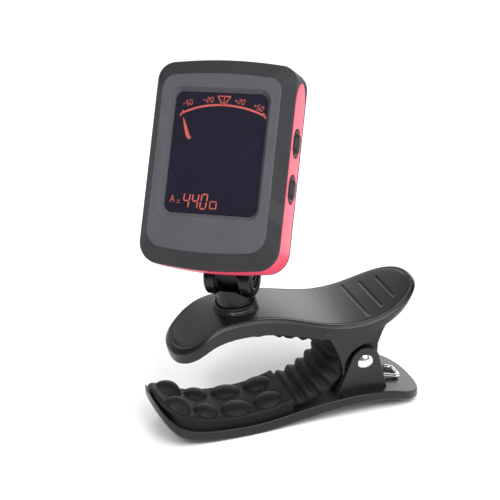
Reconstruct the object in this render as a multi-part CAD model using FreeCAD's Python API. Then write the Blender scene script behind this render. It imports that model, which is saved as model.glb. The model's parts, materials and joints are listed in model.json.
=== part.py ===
"""Clip-on tuner: a tilting display head on a swivelling fork post, carried by a sprung clip.

The clip is drawn in the pivot frame: origin on the pivot pin, +X towards the finger handles,
jaws towards -X, +Z up. The head is drawn in its own frame: origin on the tilt hinge axis, +X to
the right of the screen, +Z up the screen, -Y out of the screen. The neck shares the head's
origin and +X, with +Z up the post. Everything is placed at the end in the part frame, whose
origin is the middle of the base of the whole tuner, with the tuner standing on Z = 0.
"""
import FreeCAD, Part
import math
import os

V = FreeCAD.Vector
Rotation = FreeCAD.Rotation
X_AXIS = V(1, 0, 0)
Y_AXIS = V(0, 1, 0)
Z_AXIS = V(0, 0, 1)

# ---- placing the three drawing frames in the part frame (mm, degrees) ----
PIVOT = V(19.9, -1.07, 14.22)
HINGE_FROM_PIVOT = V(-32.21, 0, 27.14)
POST_LEAN = 2.96
HEAD_YAW = -38.1
HEAD_TILT = 33.0

# ---- clip ----
UPPER_TIP_X = -50.0
UPPER_END_X = 16.3
UPPER_JAW_HALF_WIDTH = 10.0
UPPER_HANDLE_HALF_WIDTH = 12.6
UPPER_TIP_LENGTH = 8.5
UPPER_END_LENGTH = 15.0
LOWER_TIP_X = -56.4
LOWER_END_X = 16.6
LOWER_JAW_HALF_WIDTH = 9.8
LOWER_HANDLE_HALF_WIDTH = 11.7
LOWER_TIP_LENGTH = 6.5
LOWER_END_LENGTH = 7.6
FLARE_START_X = -30.0
FLARE_LENGTH = 30.0
PLAN_ROUNDNESS = 2.3
OVERSIZE = 14.0

RIM = 0.9
TRAY_FLOOR = 1.2
TRAY_END_X = -6.8
PAD_GAP = 0.4
PAD_HALF_WIDTH = LOWER_JAW_HALF_WIDTH - RIM - PAD_GAP
PAD_END_X = -20.3
DOME_Y = 4.2
DOME_ROOT = 0.6
UPPER_PAD_START_X = -46.5
UPPER_PAD_END_X = -15.0
UPPER_PAD_HALF_WIDTH = UPPER_JAW_HALF_WIDTH - 1.9
UPPER_POCKET_DEPTH = 1.3
UPPER_PAD_THICKNESS = 0.9
UPPER_PAD_PROUD = 0.1
UPPER_DOME_HEIGHT = 0.9

PIN_RADIUS = 1.5
PIN_HEAD_RADIUS = 2.05
PIN_HEAD_HEIGHT = 0.7
RETAINER_HEIGHT = 1.3
RUNNING_CLEARANCE = 0.05
EAR_RADIUS = 4.1
EAR_IN, EAR_OUT = 6.7, 8.7
EAR_FEET = ((-8.0, -9.0), (6.2, -9.5))
LUG_RADIUS = 4.2
LUG_IN, LUG_OUT = 4.4, 6.5
CHEEK_IN, CHEEK_OUT = 8.9, 11.0
NOTCH_RADIUS = 6.8

WIRE_RADIUS = 0.6
WIRE_BEND = 1.2
COIL_RADIUS = 2.75
LEG_Y = 3.65
HOOK_REACH = 5.4

BELLOWS_HALF_THICKNESS = 0.95
BELLOWS_RIBS = 8
BELLOWS_WAVE = 0.45

GROOVE_RADIUS = 0.55
GROOVES = {0.7: 9.3, 5.0: 7.6, 9.0: 6.0}

# ---- neck ----
POST_RADIUS = 4.85
POST_TOP_Z = 0.0
POST_FOOT_Z = -8.6
COLLAR_Z = -6.8
BOSS_RADIUS = 5.9
BARREL_RADIUS = 4.86
BARREL_HALF = 6.2
SLOT_HALF = 3.25
SADDLE_Z = -2.0
KNUCKLE_RADIUS = 4.6
KNUCKLE_HALF = 2.8
TILT_SCREW_RADIUS = 1.25
TILT_HEAD_RADIUS = 2.4
NUT_RADIUS = 2.2
COUNTERBORE_DEPTH = 1.3
SWIVEL_SCREW_RADIUS = 1.4
SWIVEL_HEAD_RADIUS = 2.7
SWIVEL_HEAD_Z = -10.35

# ---- head ----
HEAD_HALF_WIDTH = 17.95
HEAD_BOTTOM = -0.9
HEAD_TOP = 50.55
BOTTOM_CORNER = 5.5
TOP_CORNER = 4.5
EDGE_BOW = 0.8
FRONT_Y = -22.2
CHAMFER_FOOT_Y = -19.2
SPLIT_Y = -14.6
REAR_EDGE_Y = -10.2
REAR_Y = -8.2
WALL = 1.6
SIDE_CHAMFER = 2.8
END_CHAMFER = 4.1
SCREEN_HALF_WIDTH = 11.8
SCREEN_BOTTOM = 12.5
SCREEN_TOP = 42.0
SCREEN_Y = -20.7
SCREEN_BEVEL = 0.9
TRIM_FRONT_Y = -18.5
TRIM_REAR_Y = -11.0
TRIM_DEPTH = 0.9
TRIM_TOP = 47.5
BUTTON_HEIGHTS = {"power_button": 31.6, "pitch_button": 20.5}
BUTTON_Y = -14.8
BUTTON_HALF_WIDTH = 2.3
BUTTON_HALF_HEIGHT = 3.4
BUTTON_STAND_OUT = 0.8
DOOR_HALF_WIDTH = 11.0
DOOR_BOTTOM = 16.0
DOOR_THICKNESS = 1.2
DOOR_GAP = 0.15
CELL_RADIUS = 10.0
CELL_THICKNESS = 3.2
CELL_FRONT_Y = -13.3
CELL_Z = 31.0
SCREW_PLACES = [(-14.0, 6.0), (14.0, 6.0), (-14.2, 46.0), (14.2, 46.0)]
SCREW_HEAD_RADIUS = 1.8
SCREW_RADIUS = 0.9
SCREW_SEAT_Y = -9.2

CURVE_STEP = 2.5
PLAN_STEPS = 28
RIB_STEPS = 6

parts = {}


# ---- drawing helpers ----
def box(x0, x1, y0, y1, z0, z1):
    return Part.makeBox(x1 - x0, y1 - y0, z1 - z0, V(x0, y0, z0))


def rod(radius, start, end):
    return Part.makeCylinder(radius, (end - start).Length, start, end - start)


def ring(outer, inner, start, end):
    return rod(outer, start, end).cut(rod(inner, start, end))


def smooth(points):
    curve = Part.BSplineCurve()
    curve.interpolate([V(*point) for point in points])
    return curve.toShape()


def closed_smooth(points):
    curve = Part.BSplineCurve()
    curve.interpolate([V(*point) for point in points], True)
    return Part.Wire(curve.toShape())


def side_slab(edges, y0, y1):
    """A closed outline in the XZ plane, made solid between two Y planes."""
    face = Part.Face(Part.Wire(edges))
    face.translate(V(0, y0, 0))
    return face.extrude(V(0, y1 - y0, 0))


def polygon_slab(points, y0, y1):
    corners = [V(x, 0, z) for x, z in points]
    face = Part.Face(Part.makePolygon(corners + corners[:1]))
    face.translate(V(0, y0, 0))
    return face.extrude(V(0, y1 - y0, 0))


def both_sides(shape):
    return [shape, shape.mirror(V(0, 0, 0), Y_AXIS)]


def union(first, *others):
    return first.fuse(list(others)).removeSplitter()


def side_curve(knots, offset, x0, x1):
    """The smooth XZ curve through the knots between x0 and x1, lowered by offset(x)."""
    count = max(2, round((x1 - x0) / CURVE_STEP))
    curve = Part.BSplineCurve()
    curve.interpolate([V(x, 0, z) for x, z in knots])
    points = []
    for step in range(count + 1):
        x = x0 + (x1 - x0) * step / count
        z = curve.intersect(Part.Line(V(x, 0, 0), V(x, 0, 1)))[0].Z
        points.append((x, 0, z - offset(x)))
    return points


def profile_slab(knots, x0, x1, upper_drop, lower_drop, half_width):
    """The slab between two drops below a side curve."""
    top = side_curve(knots, upper_drop, x0, x1)
    under = side_curve(knots, lower_drop, x0, x1)
    edges = [smooth(top), Part.makeLine(V(*top[-1]), V(*under[-1]))]
    edges += [smooth(under[::-1]), Part.makeLine(V(*under[0]), V(*top[0]))]
    return side_slab(edges, -half_width, half_width)


def plan_prism(tip, end, jaw_half, handle_half, tip_length, end_length, inset):
    """The lever's plan view: a rounded jaw that widens to a rounded handle, as a tall prism."""
    low, high = tip + inset, end - inset
    points = []
    for step in range(PLAN_STEPS + 1):
        x = (low + high) / 2 - (high - low) / 2 * math.cos(math.pi * step / PLAN_STEPS)
        flare = min(max((x - FLARE_START_X) / FLARE_LENGTH, 0), 1)
        width = jaw_half + (handle_half - jaw_half) * (1 - math.cos(math.pi * flare)) / 2 - inset
        near_tip = max((low + tip_length - x) / tip_length, 0)
        near_end = max((x - high + end_length) / end_length, 0)
        for nearness in (near_tip, near_end):
            width *= max(1 - min(nearness, 1) ** PLAN_ROUNDNESS, 0) ** (1 / PLAN_ROUNDNESS)
        points.append((x, width))
    outline = [(x, -width, 0) for x, width in points]
    outline += [(x, width, 0) for x, width in points[-2:0:-1]]
    face = Part.Face(closed_smooth(outline))
    face.translate(V(0, 0, -40))
    return face.extrude(V(0, 0, 80))


def upper_plan():
    return plan_prism(UPPER_TIP_X, UPPER_END_X, UPPER_JAW_HALF_WIDTH, UPPER_HANDLE_HALF_WIDTH,
                      UPPER_TIP_LENGTH, UPPER_END_LENGTH, 0.0)


def lower_plan(inset):
    return plan_prism(LOWER_TIP_X, LOWER_END_X, LOWER_JAW_HALF_WIDTH, LOWER_HANDLE_HALF_WIDTH,
                      LOWER_TIP_LENGTH, LOWER_END_LENGTH, inset)


# ---- lower lever and what stays with it ----
LOWER_RIM = [(-58.5, 5.0), (-56.4, 0.4), (-53.1, -5.0), (-50.2, -7.8), (-45.2, -9.9), (-38.3, -10.9),
             (-28.3, -11.1), (-16.2, -9.1), (-4.2, -7.7), (7.8, -8.9), (16.6, -11.911), (18.5, -12.8)]
LOWER_PAD_TOP = [(-58.0, 2.2), (-54.5, -1.4), (-50.0, -4.5), (-42.5, -7.6), (-34.4, -8.9), (-25.8, -8.6),
                 (-20.0, -7.4), (-17.0, -6.6)]
DOMES = [(-49.6, 3.1, 3.4, 2.6), (-42.4, 3.0, 3.2, 1.5), (-34.4, 3.9, 3.7, 1.4), (-25.8, 3.7, 3.8, 1.4)]


def lower_thickness(x):
    return 3.0 if x < -15 else 3.0 - 0.7 * (x + 15) / 32


def height_at(knots, x):
    return side_curve(knots, lambda _: 0.0, x, x + 0.01)[0][2]


def grip_dome(knots, drop, place, half_sizes, way):
    """Half an ellipsoid on the surface that lies `drop` below a side curve, pointing up or down."""
    half_length, half_width, height = half_sizes
    matrix = FreeCAD.Matrix()
    matrix.scale(half_length, half_width, height + DOME_ROOT)
    bump = Part.makeSphere(1.0, V(0, 0, 0), Z_AXIS, 0, 90, 360).transformGeometry(matrix)
    bump.translate(V(0, 0, -DOME_ROOT))
    if way < 0:
        bump.rotate(V(0, 0, 0), Y_AXIS, 180)
    rise = height_at(knots, place.x + 0.5) - height_at(knots, place.x - 0.5)
    bump.rotate(V(0, 0, 0), Y_AXIS, -math.degrees(math.atan(rise)))
    bump.translate(place + V(0, 0, height_at(knots, place.x) - drop))
    return bump


def make_lower_lever():
    plate = profile_slab(LOWER_RIM, LOWER_TIP_X - 1, LOWER_END_X + 1, lambda x: 0.0, lower_thickness,
                         OVERSIZE)
    lever = plate.common(lower_plan(0.0))
    tray = lower_plan(RIM).common(box(-60, TRAY_END_X, -OVERSIZE, OVERSIZE, -20, 10))
    hollow = profile_slab(LOWER_RIM, LOWER_TIP_X - 1, TRAY_END_X + 0.8, lambda x: -4.0,
                          lambda x: TRAY_FLOOR, OVERSIZE)
    lever = lever.cut(hollow.common(tray))
    return union(lever, *both_sides(make_ear()))


def make_ear():
    """Side wall that carries the pin: two straight flanks that run into a round top."""
    feet = [V(x, 0, z) for x, z in EAR_FEET]
    shoulders = []
    for foot, side in zip(feet, (-1, 1)):
        reach = math.acos(EAR_RADIUS / foot.Length)
        touch = math.atan2(foot.z, foot.x) + reach * side
        shoulders.append(V(EAR_RADIUS * math.cos(touch), 0, EAR_RADIUS * math.sin(touch)))
    edges = [Part.Arc(shoulders[0], V(0, 0, EAR_RADIUS), shoulders[1]).toShape()]
    for start, end in ((shoulders[1], feet[1]), (feet[1], feet[0]), (feet[0], shoulders[0])):
        edges.append(Part.makeLine(start, end))
    return side_slab(edges, EAR_IN, EAR_OUT).cut(rod(PIN_RADIUS, V(0, 0, 0), V(0, 20, 0)))


def make_lower_pad():
    shape = lower_plan(RIM + PAD_GAP)
    shape = shape.common(box(-60, PAD_END_X, -PAD_HALF_WIDTH, PAD_HALF_WIDTH, -20, 10))
    top = side_curve(LOWER_PAD_TOP, lambda x: 0.0, -56, PAD_END_X + 1)
    under = side_curve(LOWER_RIM, lambda x: TRAY_FLOOR - 0.2, -56, PAD_END_X + 1)
    edges = [smooth(top), Part.makeLine(V(*top[-1]), V(*under[-1]))]
    edges += [smooth(under[::-1]), Part.makeLine(V(*under[0]), V(*top[0]))]
    pad = side_slab(edges, -12, 12).common(shape)
    bumps = []
    for x, *half_sizes in DOMES:
        for side in (-1, 1):
            bumps.append(grip_dome(LOWER_PAD_TOP, 0.0, V(x, side * DOME_Y, 0), half_sizes, 1))
    return pad.fuse(bumps)


BELLOWS_PATH = [(-20.1, -8.1), (-16.5, -7.6), (-13.0, -6.9), (-10.0, -5.2), (-8.1, -2.4), (-7.7, 0.8),
                (-8.5, 4.0), (-10.0, 6.8), (-11.8, 9.3)]


def make_bellows():
    """The folded rubber web that closes the throat, of one thickness along its wave."""
    path = Part.BSplineCurve()
    path.interpolate([V(x, 0, z) for x, z in BELLOWS_PATH])
    sides = ([], [])
    count = BELLOWS_RIBS * RIB_STEPS
    first, last = path.FirstParameter, path.LastParameter
    for step in range(count + 1):
        share = step / count
        place = path.value(first + (last - first) * share)
        along = path.tangent(first + (last - first) * share)[0]
        normal = V(-along.z, 0, along.x)
        wave = BELLOWS_WAVE * math.sin(2 * math.pi * BELLOWS_RIBS * share) * math.sin(math.pi * share) ** 0.3
        sides[0].append(place + normal * (wave + BELLOWS_HALF_THICKNESS))
        sides[1].append(place - normal * (wave + BELLOWS_HALF_THICKNESS))
    edges = [smooth([tuple(p) for p in sides[0]]), Part.makeLine(sides[0][-1], sides[1][-1])]
    edges += [smooth([tuple(p) for p in sides[1][::-1]]), Part.makeLine(sides[1][0], sides[0][0])]
    return side_slab(edges, -PAD_HALF_WIDTH, PAD_HALF_WIDTH)


def dome(radius, height, y, side):
    """A shallow domed head on the pivot axis that stands out from the plane y."""
    sphere_radius = (radius ** 2 + height ** 2) / (2 * height)
    sphere = Part.makeSphere(sphere_radius, V(0, side * (y + height - sphere_radius), 0))
    disc = rod(radius, V(0, side * y, 0), V(0, side * (y + height + 0.1), 0))
    return sphere.common(disc)


def make_pivot_pin():
    shaft = rod(PIN_RADIUS, V(0, -EAR_OUT, 0), V(0, EAR_OUT + 0.9, 0))
    return union(shaft, dome(PIN_HEAD_RADIUS, PIN_HEAD_HEIGHT, EAR_OUT, -1))


def make_pin_retainer():
    cap = dome(PIN_HEAD_RADIUS + 0.2, RETAINER_HEIGHT, EAR_OUT, 1)
    return cap.cut(rod(PIN_RADIUS, V(0, 0, 0), V(0, 20, 0)))


def bent_wire(corners, bend):
    """Round wire along straight runs joined by bends of one radius."""
    edges = []
    start = corners[0]
    for before, corner, after in zip(corners, corners[1:], corners[2:]):
        come = (corner - before).normalize()
        go = (after - corner).normalize()
        turn = come.getAngle(go)
        setback = bend * math.tan(turn / 2)
        first, last = corner - come * setback, corner + go * setback
        middle_way = (go - come).normalize()
        middle = corner + middle_way * (bend / math.cos(turn / 2) - bend)
        edges.append(Part.makeLine(start, first))
        edges.append(Part.Arc(first, middle, last).toShape())
        start = last
    edges.append(Part.makeLine(start, corners[-1]))
    section = Part.Wire(Part.makeCircle(WIRE_RADIUS, corners[0], corners[1] - corners[0]))
    return Part.Wire(edges).makePipeShell([section], True, True)


def make_spring():
    """A close-wound coil on the pin, and two legs whose ends hook across under the handles."""
    lower = [V(0.6, -LEG_Y, -2.9), V(5.5, -LEG_Y, -7.5), V(11.6, -LEG_Y, -9.2)]
    lower += [V(11.6, HOOK_REACH - LEG_Y, -9.2), V(9.4, HOOK_REACH - LEG_Y, -8.6)]
    upper = [V(0.6, LEG_Y, 2.9), V(7.7, LEG_Y, 11.6), V(7.7, LEG_Y - HOOK_REACH, 11.6)]
    coil_end = V(0, LUG_IN - 0.1, 0)
    coil = ring(COIL_RADIUS + WIRE_RADIUS, COIL_RADIUS - WIRE_RADIUS, -coil_end, coil_end)
    return union(coil, bent_wire(lower, WIRE_BEND), bent_wire(upper, WIRE_BEND))


# ---- upper lever and what stays with it ----
UPPER_RIM = [(-53.0, 8.9), (-50.0, 11.1), (-45.7, 13.7), (-39.6, 17.5), (-31.6, 18.6), (-19.6, 16.8),
             (-7.7, 13.7), (4.3, 14.6), (12.4, 17.7), (18.5, 20.4)]
UPPER_DOMES = [(-42.6, 2.5, 2.6), (-35.4, 2.8, 2.6), (-28.0, 2.8, 2.6), (-19.5, 2.8, 2.6)]


def upper_thickness(x):
    if x < -38:
        return 3.4 + 1.3 * (x + 50) / 12
    if x < -14:
        return 4.7
    return 4.7 - 2.5 * (x + 14) / 30


def neck_placement():
    turn = Rotation(Y_AXIS, -POST_LEAN).multiply(Rotation(Z_AXIS, HEAD_YAW))
    return FreeCAD.Placement(HINGE_FROM_PIVOT, turn)


def head_placement():
    tilt = FreeCAD.Placement(V(0, 0, 0), Rotation(X_AXIS, -HEAD_TILT))
    return neck_placement().multiply(tilt)


def placed(shape, placement):
    moved = shape.copy()
    moved.Placement = placement.multiply(shape.Placement)
    return moved


def make_cheek():
    """Outer side wall of the upper lever, arched over the ear of the lower lever."""
    outline = [(-12.2, 12.6), (-10.6, 9.8), (-9.3, 7.4), (-7.9, 3.6), (-7.2, 0.4), (-7.3, -1.2),
               (-4.4, 0.6), (0.0, 1.0), (1.4, 3.2), (4.2, 10.2), (5.2, 13.2)]
    wall = polygon_slab(outline, CHEEK_IN, CHEEK_OUT)
    notch = rod(NOTCH_RADIUS, V(0, 0, 0), V(0, 20, 0))
    flank = polygon_slab([(-4.3, 1.7), (-7.2, -1.4), (-3.0, -6.0), (2.0, 0.0)], 0, 20)
    return wall.cut(notch).cut(flank)


def make_lug():
    """Inner wall of the upper lever that turns on the pin."""
    disc = rod(LUG_RADIUS, V(0, LUG_IN, 0), V(0, LUG_OUT, 0))
    web = polygon_slab([(-LUG_RADIUS, 0), (-7.0, 12.6), (5.4, 12.6), (LUG_RADIUS, 0)], LUG_IN, LUG_OUT)
    hole = rod(PIN_RADIUS + RUNNING_CLEARANCE, V(0, 0, 0), V(0, 20, 0))
    return disc.fuse(web).cut(hole)


def make_upper_lever():
    plate = profile_slab(UPPER_RIM, UPPER_TIP_X - 1, UPPER_END_X + 1, lambda x: 0.0, upper_thickness,
                         OVERSIZE)
    lever = plate.common(upper_plan())
    frame = neck_placement()
    boss = placed(Part.makeCylinder(BOSS_RADIUS, 4.0, V(0, 0, COLLAR_Z - 4.0)), frame)
    lever = lever.fuse(boss)
    cover = profile_slab(UPPER_RIM, -30, UPPER_END_X, lambda x: 1.0, lambda x: 30.0, OVERSIZE)
    inner = [wall.common(cover) for wall in both_sides(make_cheek()) + both_sides(make_lug())]
    lever = lever.fuse(inner)
    pocket = profile_slab(UPPER_RIM, UPPER_PAD_START_X, UPPER_PAD_END_X,
                          lambda x: upper_thickness(x) - UPPER_POCKET_DEPTH, lambda x: 8.0,
                          UPPER_PAD_HALF_WIDTH + 0.3)
    lever = lever.cut(pocket)
    seat = placed(Part.makeCylinder(POST_RADIUS + RUNNING_CLEARANCE, 10, V(0, 0, POST_FOOT_Z - 0.3)), frame)
    hole = placed(Part.makeCylinder(SWIVEL_SCREW_RADIUS + 0.1, 10, V(0, 0, -15)), frame)
    head_room = placed(Part.makeCylinder(SWIVEL_HEAD_RADIUS + 0.3, 10, V(0, 0, -20.3)), frame)
    lever = lever.cut(seat).cut(hole).cut(head_room)
    for x, half_length in GROOVES.items():
        groove = rod(GROOVE_RADIUS, V(x, -half_length, 0), V(x, half_length, 0))
        groove.translate(V(0, 0, height_at(UPPER_RIM, x) + 0.25))
        lever = lever.cut(groove)
    return lever.removeSplitter()


def make_upper_pad():
    def face_drop(x):
        return upper_thickness(x) - UPPER_PAD_PROUD

    pad = profile_slab(UPPER_RIM, UPPER_PAD_START_X + 0.3, UPPER_PAD_END_X - 0.3,
                       lambda x: face_drop(x) - UPPER_PAD_THICKNESS, face_drop, UPPER_PAD_HALF_WIDTH)
    bumps = []
    for x, *plan_sizes in UPPER_DOMES:
        half_sizes = (*plan_sizes, UPPER_DOME_HEIGHT)
        for side in (-1, 1):
            place = V(x, side * (UPPER_PAD_HALF_WIDTH - 3.2), 0)
            bumps.append(grip_dome(UPPER_RIM, face_drop(x), place, half_sizes, -1))
    return pad.fuse(bumps)


# ---- neck ----
def make_fork_post():
    barrel = rod(BARREL_RADIUS, V(-BARREL_HALF, 0, 0), V(BARREL_HALF, 0, 0))
    barrel = barrel.makeFillet(0.7, [edge for edge in barrel.Edges if edge.Closed])
    post = Part.makeCylinder(POST_RADIUS, POST_TOP_Z - POST_FOOT_Z, V(0, 0, POST_FOOT_Z))
    fork = barrel.fuse(post)
    slot = box(-SLOT_HALF, SLOT_HALF, -8, 8, SADDLE_Z, 8)
    saddle = rod(KNUCKLE_RADIUS + 0.25, V(-SLOT_HALF, 0, 0), V(SLOT_HALF, 0, 0))
    fork = fork.cut(slot).cut(saddle)
    fork = fork.cut(rod(TILT_SCREW_RADIUS, V(-10, 0, 0), V(10, 0, 0)))
    fork = fork.cut(rod(TILT_HEAD_RADIUS + 0.3, V(BARREL_HALF - COUNTERBORE_DEPTH, 0, 0), V(10, 0, 0)))
    fork = fork.cut(hexagon(NUT_RADIUS + 0.1, -10, -BARREL_HALF + COUNTERBORE_DEPTH))
    fork = fork.cut(Part.makeCylinder(SWIVEL_SCREW_RADIUS, 3.4, V(0, 0, POST_FOOT_Z)))
    return fork


def hexagon(radius, x0, x1):
    corners = []
    for step in range(7):
        angle = math.radians(60 * step)
        corners.append(V(x0, radius * math.cos(angle), radius * math.sin(angle)))
    return Part.Face(Part.makePolygon(corners)).extrude(V(x1 - x0, 0, 0))


def make_tilt_screw():
    seat = BARREL_HALF - COUNTERBORE_DEPTH
    shaft = rod(TILT_SCREW_RADIUS, V(-BARREL_HALF + 0.2, 0, 0), V(seat, 0, 0))
    head = rod(TILT_HEAD_RADIUS, V(seat, 0, 0), V(BARREL_HALF - 0.4, 0, 0))
    slots = [box(BARREL_HALF - 0.9, BARREL_HALF, -1.6, 1.6, -0.3, 0.3)]
    slots.append(box(BARREL_HALF - 0.9, BARREL_HALF, -0.3, 0.3, -1.6, 1.6))
    return union(shaft, head).cut(slots)


def make_tilt_nut():
    nut = hexagon(NUT_RADIUS, -BARREL_HALF + 0.1, -BARREL_HALF + COUNTERBORE_DEPTH)
    return nut.cut(rod(TILT_SCREW_RADIUS, V(-10, 0, 0), V(10, 0, 0)))


def make_friction_washers():
    pair = []
    for side in (-1, 1):
        inner, outer = V(side * (KNUCKLE_HALF + 0.05), 0, 0), V(side * SLOT_HALF, 0, 0)
        pair.append(ring(3.9, TILT_SCREW_RADIUS, inner, outer))
    return Part.makeCompound(pair)


def make_swivel_screw():
    shaft = Part.makeCylinder(SWIVEL_SCREW_RADIUS, 5.1, V(0, 0, SWIVEL_HEAD_Z))
    head = Part.makeCylinder(SWIVEL_HEAD_RADIUS, 1.3, V(0, 0, SWIVEL_HEAD_Z - 1.3))
    slots = [box(-1.7, 1.7, -0.3, 0.3, -12, -11.1), box(-0.3, 0.3, -1.7, 1.7, -12, -11.1)]
    return union(shaft, head).cut(slots)


def make_swivel_washer():
    return ring(4.5, SWIVEL_SCREW_RADIUS, V(0, 0, POST_FOOT_Z - 0.28), V(0, 0, POST_FOOT_Z))


# ---- head ----
def head_outline(y, side_inset=0.0, end_inset=0.0, bow=EDGE_BOW):
    """The head's rounded outline in the plane y, its top and bottom edges slightly bowed."""
    half = HEAD_HALF_WIDTH - side_inset
    low = HEAD_BOTTOM + end_inset
    high = HEAD_TOP - end_inset
    low_corner = max(BOTTOM_CORNER - side_inset, 0.8)
    high_corner = max(TOP_CORNER - side_inset, 0.8)
    diagonal = 1 - math.sqrt(0.5)
    edges = []
    corners = ((1, low, low_corner, 1), (1, high, high_corner, -1), (-1, high, high_corner, -1),
               (-1, low, low_corner, 1))
    ends = []
    for index, (side, level, radius, inward) in enumerate(corners):
        base = level + bow * inward
        on_side = V(side * half, y, base + radius * inward)
        on_end = V(side * (half - radius), y, base)
        middle = V(side * (half - radius * diagonal), y, base + radius * diagonal * inward)
        ends.append((on_end, on_side, middle) if index % 2 == 0 else (on_side, on_end, middle))
    for index, (start, end, middle) in enumerate(ends):
        edges.append(Part.Arc(start, middle, end).toShape())
        following = ends[(index + 1) % 4][0]
        if index % 2 == 0:
            edges.append(Part.makeLine(end, following))
        else:
            level = high if index == 1 else low
            edges.append(Part.Arc(end, V(0, y, level), following).toShape())
    return Part.Wire(edges)


def between(wire_a, wire_b):
    return Part.makeLoft([wire_a, wire_b], True, True)


def prism(y0, y1, side_inset=0.0, end_inset=0.0):
    return between(head_outline(y0, side_inset, end_inset), head_outline(y1, side_inset, end_inset))


def rounded_plate(half_width, z0, z1, y0, y1, corner):
    plate = box(-half_width, half_width, min(y0, y1), max(y0, y1), z0, z1)
    upright = [edge for edge in plate.Edges if abs(edge.Vertexes[0].Y - edge.Vertexes[1].Y) > 0.01]
    return plate.makeFillet(corner, upright)


def screen_opening():
    front = rounded_plate(SCREEN_HALF_WIDTH + SCREEN_BEVEL, SCREEN_BOTTOM - SCREEN_BEVEL,
                          SCREEN_TOP + SCREEN_BEVEL, FRONT_Y - 1, SCREEN_Y - 0.5, 1.6)
    back = rounded_plate(SCREEN_HALF_WIDTH, SCREEN_BOTTOM, SCREEN_TOP, FRONT_Y, CHAMFER_FOOT_Y + 3, 1.0)
    return front.fuse(back)


def trim_groove(grow=0.0):
    """The U-shaped channel for the coloured strip: down the right side, along the bottom, up the left."""
    band = prism(TRIM_FRONT_Y - grow, TRIM_REAR_Y + grow, -0.5, -0.5)
    band = band.cut(prism(TRIM_FRONT_Y - 1, TRIM_REAR_Y + 1, TRIM_DEPTH, TRIM_DEPTH))
    return band.cut(box(-30, 30, -40, 0, TRIM_TOP + grow, 60))


def button_shape(height, grow, x0, x1):
    centre_high = height + BUTTON_HALF_HEIGHT - BUTTON_HALF_WIDTH
    centre_low = height - BUTTON_HALF_HEIGHT + BUTTON_HALF_WIDTH
    radius = BUTTON_HALF_WIDTH + grow
    shape = rod(radius, V(x0, BUTTON_Y, centre_low), V(x1, BUTTON_Y, centre_low))
    shape = shape.fuse(rod(radius, V(x0, BUTTON_Y, centre_high), V(x1, BUTTON_Y, centre_high)))
    middle = box(x0, x1, BUTTON_Y - radius, BUTTON_Y + radius, centre_low, centre_high)
    return shape.fuse(middle).removeSplitter()


def button_holes(shape, grow=0.25):
    for height in BUTTON_HEIGHTS.values():
        shape = shape.cut(button_shape(height, grow, HEAD_HALF_WIDTH - 6, HEAD_HALF_WIDTH + 2))
    return shape


def make_front_bezel():
    front = between(head_outline(CHAMFER_FOOT_Y), head_outline(FRONT_Y, SIDE_CHAMFER, END_CHAMFER, 0.6))
    body = prism(SPLIT_Y, CHAMFER_FOOT_Y).fuse(front)
    body = body.cut(prism(SPLIT_Y + 1, -19.6, WALL, WALL))
    body = body.cut(screen_opening())
    body = body.cut(trim_groove(0.02))
    return button_holes(body).removeSplitter()


def rear_crown():
    """The slightly tapered last layer at the back of the head."""
    return between(head_outline(REAR_EDGE_Y), head_outline(REAR_Y, 2.0, 2.0))


def make_rear_cover():
    body = prism(SPLIT_Y, REAR_EDGE_Y).fuse(rear_crown())
    body = body.cut(prism(SPLIT_Y - 1, REAR_Y - WALL, WALL, WALL))
    body = body.cut(trim_groove(0.02))
    door_half = DOOR_HALF_WIDTH + DOOR_GAP
    body = body.cut(box(-door_half, door_half, REAR_Y - 1.4, 0, DOOR_BOTTOM - DOOR_GAP, 60))
    window_half = DOOR_HALF_WIDTH - 1.5
    body = body.cut(box(-window_half, window_half, -11, 0, DOOR_BOTTOM + 4, HEAD_TOP - 6))
    knuckle = rod(KNUCKLE_RADIUS, V(-KNUCKLE_HALF, 0, 0), V(KNUCKLE_HALF, 0, 0))
    web = [(1.0, -1.0), (REAR_Y - 0.6, 0.6), (REAR_Y - 0.6, 9.0), (1.0, 4.0), (1.0, -1.0)]
    web = Part.Face(Part.makePolygon([V(-KNUCKLE_HALF, y, z) for y, z in web]))
    web = web.extrude(V(2 * KNUCKLE_HALF, 0, 0))
    hole = rod(TILT_SCREW_RADIUS + RUNNING_CLEARANCE, V(-10, 0, 0), V(10, 0, 0))
    body = body.fuse([knuckle, web]).cut(hole)
    for x, z in SCREW_PLACES:
        body = body.cut(rod(SCREW_HEAD_RADIUS + 0.1, V(x, 0, z), V(x, SCREW_SEAT_Y, z)))
        body = body.cut(rod(SCREW_RADIUS, V(x, 0, z), V(x, -11, z)))
    return button_holes(body).removeSplitter()


def make_case_screws():
    screws = []
    for x, z in SCREW_PLACES:
        head = rod(SCREW_HEAD_RADIUS, V(x, SCREW_SEAT_Y + 0.7, z), V(x, SCREW_SEAT_Y, z))
        shaft = rod(SCREW_RADIUS, V(x, SCREW_SEAT_Y, z), V(x, -13.5, z))
        cross = [box(x - 1.1, x + 1.1, -8.9, -8, z - 0.2, z + 0.2)]
        cross.append(box(x - 0.2, x + 0.2, -8.9, -8, z - 1.1, z + 1.1))
        screws.append(union(head, shaft).cut(cross))
    return Part.makeCompound(screws)


def make_side_trim():
    trim = trim_groove().common(prism(TRIM_FRONT_Y - 1, TRIM_REAR_Y + 1))
    return button_holes(trim, 0.3).removeSplitter()


def make_battery_door():
    panel = box(-DOOR_HALF_WIDTH, DOOR_HALF_WIDTH, REAR_Y - DOOR_THICKNESS, 0, DOOR_BOTTOM, 60)
    door = rear_crown().common(panel)
    for step in range(4):
        z = DOOR_BOTTOM + 3.0 + 1.6 * step
        door = door.cut(rod(0.4, V(-4.5, REAR_Y + 0.15, z), V(4.5, REAR_Y + 0.15, z)))
    return door


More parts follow.
